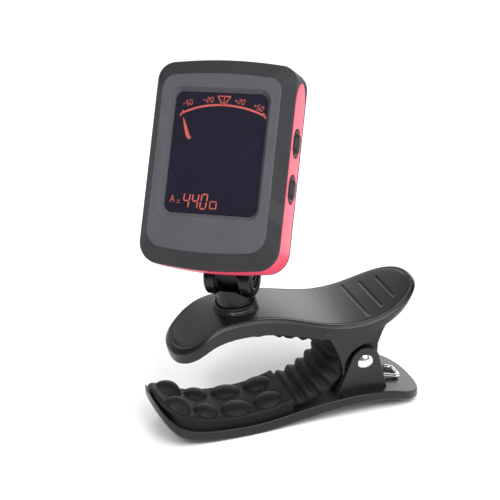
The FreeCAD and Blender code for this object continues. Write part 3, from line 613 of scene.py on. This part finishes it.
def make_upper_lever():
    foot_inset, foot_radius, crown, voxel, rounds = 0.5, 0.55, 0.15, 0.17, 3
    top = [(inset, constant(fall)) for inset, fall in UPPER_BEAD]
    foot = [(inset + foot_inset, under(upper_thickness, fall))
            for inset, fall in edge_round(foot_radius, 3)[::-1]]
    body = plate("upper_lever_shell", UPPER_PLAN, top + foot, upper_rim, crown, CLIP)
    boolean(body, handle_grooves())
    extras = []
    for side in (-1, 1):
        extras.append(make_cheek(side))
        extras += make_lug(side)
    extras.append(turned("boss", BOSS, NECK))
    lever = joined("upper_lever_shell", [body] + extras)
    moulded(lever, voxel, rounds)
    seat = turned("seat", SWIVEL_SEAT, NECK)
    hole = turned("hole", SWIVEL_HOLE, NECK)
    boolean(lever, [seat, hole])
    finished(lever, "upper_clip", SATIN, "satin_shell", "upper_lever")


def tray_drop(x):
    """Depth of the tray that holds the lower pad, with a ramp at its end."""
    ramp = 1.2
    return TRAY_DEPTH * np.clip((TRAY_END_X - x) / ramp, 0, 1)


def tray_wall(most):
    return lambda x: np.minimum(tray_drop(x), most)


def lower_thickness(x):
    full, thinning, thin_from, thin_length = 3.0, 0.7, -15, 32
    x = np.asarray(x)
    return np.where(x < thin_from, full, full - thinning * (x - thin_from) / thin_length)


def make_lower_lever():
    foot_radius, voxel, rounds, ear_soft, bore_out = 0.7, 0.19, 3, 0.35, 10
    levels = [(RIM + 0.35, tray_drop), (RIM + 0.08, tray_drop), (RIM, tray_wall(0.9))]
    levels += [(0.85, tray_wall(0.3)), (0.7, tray_wall(0.08))]
    levels += [(0.5, constant(0.0)), (0.3, constant(0.01)), (0.1, constant(0.07)), (0.0, constant(0.25))]
    levels += [(inset, under(lower_thickness, fall)) for inset, fall in edge_round(foot_radius, 4)[::-1]]
    body = plate("lower_lever_shell", LOWER_PLAN, levels, lower_rim, 0.0, CLIP)
    left, right = (-8.0, -9.0), (6.2, -9.5)
    first = tangent_angle(*right, EAR_RADIUS, 1)
    last = tangent_angle(*left, EAR_RADIUS, -1) + 2 * math.pi
    arc = np.linspace(first, last, 30)
    outline = [(EAR_RADIUS * math.cos(a), EAR_RADIUS * math.sin(a)) for a in arc] + [left, right]
    ears = []
    for side in (-1, 1):
        ear = soft_prism("ear", outline, side * EAR_IN, side * EAR_OUT, ear_soft, CLIP)
        bore = side_prism("bore", circle(PIN_RADIUS), side, CUT_IN, bore_out)
        ears.append(boolean(ear, [bore]))
    lever = boolean(moulded(body, voxel, rounds), ears, "UNION")
    finished(lever, "lower_clip", SATIN, "satin_shell", "lower_lever")


# ---- rubber ----
def dome_height(x, y, domes, dome_y):
    """Height of the oval grip domes, each with a narrow crease round its foot."""
    fullness, crease_depth, crease_at, crease_width = 0.62, 0.16, 1.05, 0.07
    rise = np.zeros_like(x)
    for middle, half_length, half_width, height in domes:
        for side in (-1, 1):
            away = np.hypot((x - middle) / half_length, (y - side * dome_y) / half_width)
            rise += height * np.clip(1 - away ** 2, 0, 1) ** fullness
            rise -= crease_depth * np.exp(-((away - crease_at) / crease_width) ** 2)
    return rise


def edge_fall(distance, radius):
    """How far a rounded edge has dropped at a distance from the outline."""
    share = np.clip(1 - distance / radius, 0, 1)
    return radius * (1 - np.sqrt(1 - share ** 2))


def outline_distance(x, y, outline):
    best = np.full(x.shape, 1e9)
    for (ax, ay), (bx, by) in zip(outline, outline[1:]):
        dx, dy = bx - ax, by - ay
        share = np.clip(((x - ax) * dx + (y - ay) * dy) / (dx * dx + dy * dy + 1e-12), 0, 1)
        best = np.minimum(best, np.hypot(x - ax - share * dx, y - ay - share * dy))
    return best


def pad_mesh(name, stations, half_widths, outline, top, base, domes, dome_y, way, radius, crown=0.0):
    """A pad in sections along X: its crowned face towards `way`, with rolled edges and grip domes."""
    across = np.sin(np.linspace(-1, 1, 67) * np.pi / 2)
    rings = []
    for x0, half in zip(stations, half_widths):
        y = across * half
        x = np.full_like(y, x0)
        fall = edge_fall(outline_distance(x, np.abs(y), outline), radius)
        rise = dome_height(x, y, domes, dome_y) * np.clip(1 - fall / radius, 0, 1) ** 0.5
        rise += crown * (1 - (y / half) ** 2)
        slope = (top(x0 + 0.2) - top(x0 - 0.2)) / 0.4
        tilt = math.hypot(1.0, float(slope))
        shift = (rise - fall) * way
        px = x - shift * float(slope) / tilt
        pz = float(top(x0)) + shift / tilt
        floor = float(base(x0))
        ring = [(a, b, c) for a, b, c in zip(px, y, pz)]
        ring += [(x0, b, floor) for b in (half, half * 0.5, 0.0, -half * 0.5, -half)]
        rings.append(ring)
    return loft(name, rings, CLIP)


def make_lower_pad():
    inset = RIM + PAD_GAP
    low = LOWER_PLAN[0] + inset
    first_gap, crowding, depth, edge_radius = 0.02, 0.35, 0.95, 1.0
    share = np.linspace(0.0, 1.0, 190)
    stations = low + first_gap + (PAD_END_X - low) * (share + crowding * (share ** 2 - share))
    edge_x = np.linspace(low, PAD_END_X, 160)
    widths, edge_y = (np.minimum(plan_width(x, LOWER_PLAN, inset), PAD_HALF_WIDTH)
                      for x in (stations, edge_x))
    pad = pad_mesh("lower_jaw_pad_domed", stations, widths, list(zip(edge_x, edge_y)), lower_pad_top,
                   lambda x: lower_rim(x) - depth, DOMES, DOME_Y, 1, edge_radius, PAD_CROWN)
    finished(pad, "lower_clip", RUBBER, "soft_rubber", "lower_jaw_pad", angle=50)


def upper_ribs(x):
    """Height of the low ribs across the throat end of the upper pad."""
    height, start, fade, spacing = 0.7, -25.5, 3, 3.1
    return height * np.clip((x - start) / fade, 0, 1) * np.sin(np.pi * x / spacing) ** 2


def make_upper_pad():
    start, end, inset, proud = UPPER_PAD
    sunk, edge_radius = 0.25, 0.5
    stations = np.linspace(start, end, 190)
    widths = plan_width(stations, UPPER_PLAN, inset)
    outline = list(zip(stations, widths))
    pad = pad_mesh("upper_jaw_pad_domed", stations, widths, outline,
                   lambda x: upper_rim(x) - upper_thickness(x) - proud - upper_ribs(x),
                   lambda x: upper_rim(x) - upper_thickness(x) + sunk,
                   UPPER_DOMES, UPPER_DOME_Y, -1, edge_radius)
    finished(pad, "upper_clip", RUBBER, "soft_rubber", "upper_jaw_pad", angle=50)


def make_bellows():
    """A corrugated strip whose ribs wrap down over its two sides."""
    ribs, steps, thickness, depth = 8, 16, 0.9, 0.85
    crest_power, middle_share, valley_inset, edge_radius = 0.7, 0.6, 0.6, 0.6
    count = ribs * steps + 1
    path = even_steps(spline_points(BELLOWS_PATH, 400), 0.05)
    pick = np.linspace(0, len(path) - 1, count)
    line = np.stack([np.interp(pick, np.arange(len(path)), path[:, k]) for k in range(2)], axis=1)
    crest = (np.sin(np.pi * np.linspace(0, ribs, count)) ** 2) ** crest_power
    side_drop = np.interp(np.linspace(0, 1, count), [0, 0.35, 1], [1.4, 3.2, 1.2])
    ends = np.clip(np.sin(np.pi * np.linspace(0, 1, count)) * 5, 0, 1)
    wave = depth * (crest - middle_share) * ends
    rings = []
    for place, way, lift, bulge, drop_here in zip(line, unit_normals(line), wave, crest * ends, side_drop):
        half = BELLOWS_HALF_WIDTH - valley_inset * (1 - bulge)
        y = np.sin(np.linspace(-1, 1, 25) * np.pi / 2) * half
        bow = -drop_here * (y / half) ** 4
        fall = edge_fall(half - np.abs(y), edge_radius)
        ring = []
        for face, order in ((1, 1), (-1, -1)):
            offsets = lift + bow + face * (thickness - fall)
            ring += [(place[0] + way[0] * o, b, place[1] + way[1] * o) for o, b in zip(offsets, y)][::order]
        rings.append(ring)
    strip = loft("throat_bellows_ribbed", rings, CLIP)
    bending(strip, RUBBER, "throat_bellows")


# ---- spring ----
def tube(name, path, radius, place, count=14):
    """Round wire along a path of close points."""
    path = [Vector(point) for point in path]
    around = zip(path[:1] + path[:-1], path[1:] + path[-1:])
    ways = [(after - before).normalized() for before, after in around]
    side = ways[0].orthogonal().normalized()
    rings = []
    for point, way in zip(path, ways):
        side = (side - way * side.dot(way)).normalized()
        other = way.cross(side)
        rings.append([point + (side * a + other * b) * radius for a, b in circle(1.0, count)])
    return loft(name, rings, place)


def rounded_path(corners, bend, steps=8):
    """A line of close points along straight runs joined by round bends."""
    corners = [Vector(corner) for corner in corners]
    path = [corners[0]]
    for before, corner, after in zip(corners, corners[1:], corners[2:]):
        first = corner + (before - corner).normalized() * bend
        last = corner + (after - corner).normalized() * bend
        for k in range(steps + 1):
            share = k / steps
            path.append(first.lerp(corner, share).lerp(corner.lerp(last, share), share))
    return path + [corners[-1]]


def make_spring():
    """Torsion spring: a coil on the pin, and two legs whose ends hook across under the handles."""
    radius, coil, leg_y, reach, turns, bend = 0.6, 2.75, 3.65, 5.4, 5, 1.2
    lower_x, lower_z, upper_x, upper_z = 5.5, -7.5, 7.7, 11.6
    hook_x, hook_z = 11.6, -9.2
    start = tangent_angle(lower_x, lower_z, coil, -1)
    stop = tangent_angle(upper_x, upper_z, coil, 1) - 2 * math.pi * (turns + 1)
    helix = []
    for share in np.linspace(0, 1, 240):
        angle = start + (stop - start) * share
        helix.append((coil * math.cos(angle), leg_y * (2 * share - 1), coil * math.sin(angle)))
    hook = [(9.4, reach - leg_y, -8.6), (hook_x, reach - leg_y, hook_z), (hook_x, -leg_y, hook_z),
            (lower_x, -leg_y, lower_z)]
    path = rounded_path(hook + [helix[0]], bend)[:-1] + helix
    upper_leg = [helix[-1], (upper_x, leg_y, upper_z), (upper_x, leg_y - reach, upper_z)]
    path += rounded_path(upper_leg, bend)[1:]
    wire = tube("torsion_spring_wire", even_steps(path, 0.3), radius, CLIP)
    bending(wire, STEEL, "torsion_spring")


# ---- neck ----
def make_fork_post():
    voxel, rounds = 0.15, 6
    copy = add_object("fork_post_moulded", frame["nodes"]["fork_post"].data.copy())
    post = moulded(copy, voxel, rounds)
    finished(post, "neck", GLOSS, "satin_shell", "fork_post", angle=60)


# ---- head ----
def corner_points(y, half, end, way, turn):
    """A corner of rounded_loop, from the end's edge to the side (turn 1) or back (turn -1)."""
    level, radius, bow, inward = end
    base = level + bow * inward
    angles = np.linspace(-math.pi / 2, 0, 11) if turn > 0 else np.linspace(0, math.pi / 2, 11)
    return [(way * (half - radius + radius * math.cos(a)), y,
             base + inward * radius * (1 + turn * math.sin(a))) for a in angles]


def rounded_loop(y, half, low, high, low_corner, high_corner, low_bow, high_bow):
    """A rounded rectangle in the plane y whose bottom and top edges bow outwards a little."""
    bottom, top = (low, low_corner, low_bow, 1), (high, high_corner, high_bow, -1)
    points = []
    for way, here, there in ((1, bottom, top), (-1, top, bottom)):
        level, radius, bow, inward = here
        for share in np.linspace(-1, 1, 25)[1:-1]:
            points.append((way * share * (half - radius), y, level + bow * inward * share ** 2))
        points += corner_points(y, half, here, way, 1)
        start = level + bow * inward + inward * radius
        stop = there[0] + there[3] * (there[2] + there[1])
        for share in np.linspace(0, 1, 26)[1:-1]:
            points.append((way * half, y, start + (stop - start) * share))
        points += corner_points(y, half, there, way, -1)
    return points


def head_station(y, side_inset=0.0, end_inset=0.0, bow=END_BOW, low_corner=CORNER_LOW,
                 high_corner=CORNER_HIGH):
    """The values of rounded_loop for the head's outline in the plane y."""
    return np.array([y, HEAD_HALF_WIDTH - side_inset, HEAD_BOTTOM + end_inset, HEAD_TOP - end_inset,
                     low_corner, high_corner, bow, bow])


def inner_station(y):
    """The inside of the walls."""
    return head_station(y, WALL, WALL, END_BOW, 3.9, 2.9)


def closing_station(y):
    """A small loop that closes the surface."""
    return np.array([y, 1.0, 23.0, 25.0, 0.4, 0.4, 0.0, 0.0])


def screen_station(y, grow, corner=2.1):
    return np.array([y, SCREEN_HALF_WIDTH + grow, SCREEN_BOTTOM - grow, SCREEN_TOP + grow,
                     corner, corner, 0.0, 0.0])


def softened(stations, steps=5):
    """The stations as a smooth series: each has a share of its neighbours' distance to round off."""
    result = []
    for k, (station, size) in enumerate(stations):
        if size == 0 or k in (0, len(stations) - 1):
            result.append(station)
            continue
        before, after = stations[k - 1][0], stations[k + 1][0]
        first = station + (before - station) * min(size / np.abs(before - station).max(), 0.49)
        last = station + (after - station) * min(size / np.abs(after - station).max(), 0.49)
        result.append(first + (before - first) * 0.02)
        for step in range(steps + 1):
            t = step / steps
            result.append((first * (1 - t) + station * t) * (1 - t) + (station * (1 - t) + last * t) * t)
        result.append(last + (after - last) * 0.02)
    return result


def head_shell(name, stations, wrap=False):
    rings = [rounded_loop(*station) for station in softened(stations)]
    return loft(name, rings, HEAD, wrap)


def trim_path():
    """Points, outward normals and lengths so far, down the head's right side, along its bottom
    and up the left."""
    radius, bow = CORNER_LOW, END_BOW
    flat = HEAD_HALF_WIDTH - radius
    base = HEAD_BOTTOM + bow + radius
    right = [(HEAD_HALF_WIDTH, z) for z in np.linspace(TRIM_TOP, base, 90)[:-1]]
    right += [(flat + radius * math.cos(a), base + radius * math.sin(a))
              for a in np.linspace(0, -math.pi / 2, 20)]
    half_bottom = [(x, HEAD_BOTTOM + bow * (x / flat) ** 2) for x in np.linspace(flat, 0, 24)[1:]]
    half = right + half_bottom
    points = np.array(half + [(-x, z) for x, z in half[-2::-1]])
    return points, unit_normals(points), lengths_along(points)


def trim_band(name, grow, outer, inner, soft):
    """The U-shaped strip round the head, its two ends tapered to a round."""
    points, normals, gone = trim_path()
    taper = 6.0
    section = [(-1, outer - soft), (-0.94, outer - soft * 0.25), (-0.6, outer), (0, outer + soft * 0.3),
               (0.6, outer), (0.94, outer - soft * 0.25), (1, outer - soft), (1, inner), (-1, inner)]
    rings = []
    for (x, z), (nx, nz), place in zip(points, normals, gone):
        near = min(place, gone[-1] - place)
        share = np.clip((near + 0.05) / taper, 0, 1)
        half = TRIM_HALF * math.sqrt(1 - (1 - share) ** 2) + grow
        rings.append([(x + nx * out, TRIM_MIDDLE_Y + y_share * half, z + nz * out)
                      for y_share, out in section])
    return loft(name, rings, HEAD)


def trim_groove():
    return trim_band("groove", 0.17, 1.0, -TRIM_DEPTH - 0.1, 0.0)


def capsule(x, height, grow):
    """The outline of a button in the plane x."""
    radius = BUTTON_HALF_WIDTH + grow
    reach = BUTTON_HALF_HEIGHT - BUTTON_HALF_WIDTH
    loop = []
    for angle in np.linspace(0, 2 * np.pi, 48, endpoint=False):
        lift = reach if math.sin(angle) >= 0 else -reach
        loop.append((x, BUTTON_Y + radius * math.cos(angle), height + lift + radius * math.sin(angle)))
    return loop


def button_cutters(grow):
    inside, outside = HEAD_HALF_WIDTH - 6, HEAD_HALF_WIDTH + 2
    cutters = []
    for height in BUTTONS.values():
        rings = [capsule(x, height, grow) for x in (inside, outside)]
        cutters.append(loft("button_cut", rings, HEAD))
    return cutters


def make_bezel():
    """The front of the case: a grey face, with its chamfers and sides in a darker copy of the grey that is
    painted shade.
    """
    stations = [
        (inner_station(SPLIT_Y), 0), (head_station(SPLIT_Y, LIP), 0), (head_station(SPLIT_Y - LIP), 0),
        (head_station(CHAMFER_FOOT_Y), 0.5), (head_station(FRONT_Y, 2.8, 4.1, 0.6, 4.4, 3.4), 0.4),
        (screen_station(FRONT_Y, 1.1, 3.0), 0.2), (screen_station(SCREEN_Y - 0.35, LIP), 0.2),
        (screen_station(SCREEN_Y - 0.1, 0.02), 0), (screen_station(FRONT_INNER_Y, 0.02), 0),
        (inner_station(FRONT_INNER_Y), 0)]
    bezel = head_shell("front_bezel_shell", stations, wrap=True)
    boolean(bezel, [trim_groove()] + button_cutters(0.25))
    finished(bezel, "head", CASE_DARK_AND_SHADE, "grey_case", "front_bezel", angle=32)
    # The face and the border round the screen take the lighter grey; the chamfers and sides keep the darker
    # copy as painted shade.
    bezel.data.materials.append(CASE)
    face_depth, side_border, end_border = 0.08, 1.3, 2.4
    to_drawing = HEAD.inverted()
    for polygon in bezel.data.polygons:
        x, y, z = to_drawing @ polygon.center
        on_face = y < FRONT_Y + face_depth
        in_width = abs(x) < SCREEN_HALF_WIDTH + side_border
        in_height = SCREEN_BOTTOM - end_border < z < SCREEN_TOP + end_border
        polygon.material_index = 1 if on_face or (in_width and in_height) else 0


def make_knuckle():
    """The tilt hinge's knuckle on the back of the head."""
    radius, half_width, bevel, shrink = 4.6, 2.8, 0.2, 0.25 / 8
    arc = np.linspace(math.radians(-45), math.radians(150), 30)
    outline = [(radius * math.cos(a), radius * math.sin(a)) for a in arc] + [(-8.6, 9.0), (-8.6, 0.4)]
    rings = []
    for x, share in ((-half_width, shrink), (bevel - half_width, 0.0), (half_width - bevel, 0.0),
                     (half_width, shrink)):
        rings.append([(x, y * (1 - share), z * (1 - share)) for y, z in outline])
    return loft("knuckle", rings, HEAD)


def rectangle(half_width, low, high):
    return [(-half_width, low), (half_width, low), (half_width, high), (-half_width, high)]


def make_rear_cover():
    stations = [
        (closing_station(REAR_Y), 0), (head_station(REAR_Y, 2.0, 2.0, 0.7, 4.2, 3.4), 0.7),
        (head_station(REAR_EDGE_Y), 0.8), (head_station(SPLIT_Y + LIP), 0),
        (head_station(SPLIT_Y, LIP), 0), (inner_station(SPLIT_Y), 0),
        (inner_station(REAR_INNER_Y), 0), (closing_station(REAR_INNER_Y), 0)]
    cover = head_shell("rear_cover_shell", stations)
    cuts = [trim_groove()] + button_cutters(0.25)
    cuts.append(prism_y("door_space", rectangle(11.15, 15.85, 60), -9.6, 0, HEAD))
    cuts.append(prism_y("cell_window", rectangle(9.5, 20.0, 44.55), -11, 0, HEAD))
    for x, z in ((-14.0, 6.0), (14.0, 6.0), (-14.2, 46.0), (14.2, 46.0)):
        cuts.append(prism_y("counterbore", circle(1.9, 40, (x, z)), -9.2, 0, HEAD))
        cuts.append(prism_y("screw_hole", circle(0.95, 32, (x, z)), -11, -9.1, HEAD))
    boolean(cover, cuts)
    boolean(cover, [make_knuckle()], "UNION")
    finished(cover, "head", CASE_DARK_AND_SHADE, "grey_case", "rear_cover", angle=32)


def make_trim():
    trim = trim_band("side_trim_strip", 0.0, 0.0, -TRIM_DEPTH, 0.14)
    boolean(trim, button_cutters(0.3))
    finished(trim, "head", TRIM, "red_trim", "side_trim", angle=40)


def make_buttons():
    steps = [(-2.2, -0.1), (-2.1, 0.0), (-0.35, 0.0), (-0.15, -0.06), (-0.05, -0.2), (0.0, -0.5),
             (0.02, -0.85),
             (0.1, -1.0), (0.45, -1.12), (0.65, -1.25), (0.76, -1.5), (0.8, -1.85), (0.8, -2.1)]
    for name, height in BUTTONS.items():
        rings = [capsule(HEAD_HALF_WIDTH + out, height, grow) for out, grow in steps]
        cap = loft(name + "_cap", rings, HEAD)
        finished(cap, name, KEY_RUBBER, "button_rubber", name, angle=50)


def make_window():
    stations = [(screen_station(-18.75, -0.05, 2.0), 0), (screen_station(SCREEN_Y + 0.1, -0.05, 2.0), 0)]
    stations += [(screen_station(SCREEN_Y, -0.16, 1.9), 0), (screen_station(SCREEN_Y, -1.2, 1.2), 0)]
    pane = head_shell("display_window_pane", stations)
    finished(pane, "head", WINDOW, "window", "display_window", angle=30)


# ---- display graphics ----
SEGMENT_LIFT, SEGMENT_THICKNESS = 0.012, 0.03


def flat_shape(outline):
    """Points and faces of a thin plate on the window, from an outline of (x, z) points."""
    front, back = SCREEN_Y - SEGMENT_LIFT - SEGMENT_THICKNESS, SCREEN_Y - SEGMENT_LIFT
    rings = [[(x, y, z) for x, z in outline] for y in (front, back)]
    return [point for ring in rings for point in ring], ring_faces(2, len(outline), False)


def stroke(points, widths):
    """The outline of a line of varying width."""
    points = np.array(points, float)
    widths = np.zeros(len(points)) + widths
    side = unit_normals(points) * widths[:, None] / 2
    return [tuple(p) for p in points + side] + [tuple(p) for p in (points - side)[::-1]]


SEVEN = {"0": "abcdef", "2": "abged", "4": "fgbc", "5": "afgcd"}
SEGMENT_ENDS = {"a": ((0, 2), (1, 2)), "b": ((1, 2), (1, 1)), "c": ((1, 1), (1, 0)), "d": ((0, 0), (1, 0)),
                "e": ((0, 1), (0, 0)), "f": ((0, 2), (0, 1)), "g": ((0, 1), (1, 1))}


def digit_strokes(digit, x, z, width, height, line, slant=0.12, turn=0.0):
    gap = 0.1
    shapes = []
    for letter in SEVEN[digit]:
        one, two = SEGMENT_ENDS[letter]
        ends = []
        for (px, pz), (qx, qz) in ((one, two), (two, one)):
            px, pz = px + (qx - px) * gap, pz + (qz - pz) * gap
            u = px * width + slant * pz * height / 2
            w = pz * height / 2
            along = u * math.cos(turn) - w * math.sin(turn)
            up = u * math.sin(turn) + w * math.cos(turn)
            ends.append((x + along, z + up))
        shapes.append(stroke(ends, line))
    return shapes


def closed_strokes(corners, width):
    return [stroke([start, stop], width) for start, stop in zip(corners, corners[1:] + corners[:1])]


def dial_strokes():
    """The scale's arc, end ticks, two marks over its middle, and the needle."""
    left_end, right_end = (-10.0, 36.75), (11.2, 36.95)
    knots = [left_end, (-6.6, 38.1), (-2.95, 38.9), (0.5, 39.12), (4.2, 38.85), (8.1, 38.05), right_end]
    shapes = [stroke(spline_points(knots, 60), 0.5)]
    for (x, z), lean in ((left_end, -0.35), (right_end, 0.4)):
        shapes.append(stroke([(x - lean, z + 0.7), (x + lean, z - 0.7)], 0.35))
    for left, right, tip in ((-1.15, 0.62, 0.45), (0.55, 2.2, 0.62)):
        shapes += closed_strokes([(left, 41.25), (right, 41.3), (tip, 38.9)], 0.26)
    needle = [(-9.5, 35.7), (-8.6, 33.4), (-7.9, 31.4), (-7.15, 30.6)]
    shapes.append(stroke(needle, [0.15, 0.75, 0.95, 0.8]))
    return shapes


def scale_strokes():
    """The four numbers of the scale, each turned to follow the arc."""
    sign_line = 0.16
    digit_size = (0.6, 1.15, 0.17)
    shapes = []
    for text, x, z, turn in (("-50", -9.75, 38.35, 0.30), ("-20", -4.65, 39.5, 0.12),
                             ("+20", 3.25, 39.75, -0.14), ("+50", 8.1, 38.75, -0.32)):
        way = np.array([math.cos(turn), math.sin(turn)])
        rise = np.array([-math.sin(turn), math.cos(turn)])
        start = np.array([x, z])
        sign = start + rise * 0.62
        shapes.append(stroke([sign, sign + way * 0.6], sign_line))
        if text[0] == "+":
            middle = sign + way * 0.3
            shapes.append(stroke([middle - rise * 0.3, middle + rise * 0.3], sign_line))
        for k, digit in enumerate(text[1:]):
            at = start + way * (0.85 + 0.98 * k)
            shapes += digit_strokes(digit, *at, *digit_size, turn=turn)
    return shapes


def readout_strokes():
    """The pitch in hertz, a box after it, a letter and an equals sign before it."""
    shapes = []
    for k, digit in enumerate("440"):
        shapes += digit_strokes(digit, -7.2 + 2.25 * k, 13.75, 1.45, 3.5, 0.36, slant=0.1)
    shapes += closed_strokes([(-0.15, 13.95), (1.45, 13.95), (1.45, 15.6), (-0.15, 15.6)], 0.28)
    for x0, z0, x1, z1, line in ((-10.45, 14.95, -9.95, 16.7, 0.2), (-9.95, 16.7, -9.45, 14.95, 0.2),
                                 (-10.25, 15.5, -9.65, 15.5, 0.18), (-8.75, 14.9, -7.95, 14.9, 0.16),
                                 (-8.75, 15.45, -7.95, 15.45, 0.16)):
        shapes.append(stroke([(x0, z0), (x1, z1)], line))
    return shapes


def make_graphics():
    points, faces = [], []
    for shape in dial_strokes() + scale_strokes() + readout_strokes():
        more_points, more_faces = flat_shape(shape)
        faces += [tuple(index + len(points) for index in face) for face in more_faces]
        points += more_points
    lit = make_object("display_segments", points, faces, HEAD)
    lit.data.materials.append(GLOW)
    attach(lit, "head")


make_upper_lever()
make_lower_lever()
make_lower_pad()
make_upper_pad()
make_bellows()
make_spring()
make_fork_post()
make_bezel()
make_rear_cover()
make_trim()
make_buttons()
make_window()
make_graphics()

NODE_MATERIALS = {
    STEEL: ("pivot_pin", "pin_retainer", "coin_cell"),
    BLACK_STEEL: ("tilt_screw", "tilt_nut"),
    ZINC: ("swivel_screw", "swivel_washer", "case_screws", "battery_contact_minus",
           "battery_contact_plus"),
    NYLON: ("friction_washers",),
    BRASS: ("piezo_disc",),
    BOARD: ("circuit_board",),
    EPOXY: ("board_chips", "power_switch", "pitch_switch"),
    GUIDE: ("backlight_guide",),
    GLASS: ("lcd_panel",),
    RUBBER: ("zebra_strip",),
    CASE: ("battery_door",),
}
for material, nodes in NODE_MATERIALS.items():
    for node in nodes:
        mesh = frame["nodes"][node].data
        mesh.materials.clear()
        mesh.materials.append(material)


# ---- stage, light and camera ----
LENS_MM, SENSOR_MM = 114.33, 36
CAMERA_AZIMUTH, CAMERA_ELEVATION, CAMERA_ROLL = -17.8748, 24.9043, -2.2753
CAMERA_TARGET = (-27.3201, 0, 33.3261)
CAMERA_DISTANCE = 0.396122
LIGHTS_AIM = Vector((-0.01, 0, 0.04))
WORLD_STRENGTH = 0.16
FLOOR_HALF_MM = 4000
# Name, place in metres, width, height, power in watts.
SOFTBOXES = [
    ("key", (0.30, -0.80, 0.55), 0.5, 0.5, 3.0),
    ("right", (0.85, -0.30, 0.30), 0.4, 0.5, 2.6),
    ("rear", (0.43, 0.90, 0.27), 1.1, 0.42, 4.1),
    ("rear_left", (-0.28, 0.86, 0.45), 0.45, 0.4, 0.5),
    ("top", (0.10, 0.28, 1.00), 0.6, 0.5, 2.5),
    ("front", (0.00, -0.75, 0.75), 0.3, 0.3, 2.5),
    ("strip", (-0.03, -0.50, 0.92), 1.2, 0.35, 7.5),
    ("edge", (-0.48, -0.60, 0.70), 0.22, 0.22, 3.0),
]


def camera_axes(azimuth, elevation, roll):
    a, e, r = (math.radians(angle) for angle in (azimuth, elevation, roll))
    back = Vector((math.sin(a) * math.cos(e), -math.cos(a) * math.cos(e), math.sin(e)))
    right = Vector((math.cos(a), math.sin(a), 0))
    up = back.cross(right)
    x_way = right * math.cos(r) + up * math.sin(r)
    y_way = up * math.cos(r) - right * math.sin(r)
    return Matrix((x_way, y_way, back)).transposed()


def add_camera():
    view = bpy.data.cameras.new("camera")
    view.sensor_width = SENSOR_MM
    view.lens = LENS_MM
    view.clip_start = 0.01
    camera = add_object("camera", view)
    axes = camera_axes(CAMERA_AZIMUTH, CAMERA_ELEVATION, CAMERA_ROLL)
    target = CLIP @ Vector(CAMERA_TARGET)
    camera.matrix_world = Matrix.Translation(target + axes.col[2] * CAMERA_DISTANCE) @ axes.to_4x4()
    bpy.context.scene.camera = camera


def add_softbox(name, place, width, height, power):
    lamp = bpy.data.lights.new(name, "AREA")
    lamp.shape = "RECTANGLE"
    lamp.size, lamp.size_y = width, height
    lamp.energy = power
    box = add_object(name, lamp)
    box.location = place
    box.rotation_euler = (LIGHTS_AIM - Vector(place)).to_track_quat("-Z", "Y").to_euler()


def add_stage():
    reach = FLOOR_HALF_MM
    corners = [(-reach, -reach, 0), (reach, -reach, 0), (reach, reach, 0), (-reach, reach, 0)]
    floor = make_object("floor", corners, [(0, 1, 2, 3)], Matrix.Scale(MM, 4))
    paper = surface("paper", ((0.955, 0.955, 0.955), (0.97, 0.97, 0.97)), (0.85, 0.95), [], 3.0)
    floor.data.materials.append(paper)
    world = bpy.data.worlds.new("studio")
    world.use_nodes = True
    background = world.node_tree.nodes["Background"]
    background.inputs["Color"].default_value = (1, 1, 1, 1)
    background.inputs["Strength"].default_value = WORLD_STRENGTH
    bpy.context.scene.world = world
    for softbox in SOFTBOXES:
        add_softbox(*softbox)
    bpy.context.scene.view_settings.view_transform = "Standard"


add_camera()
add_stage()
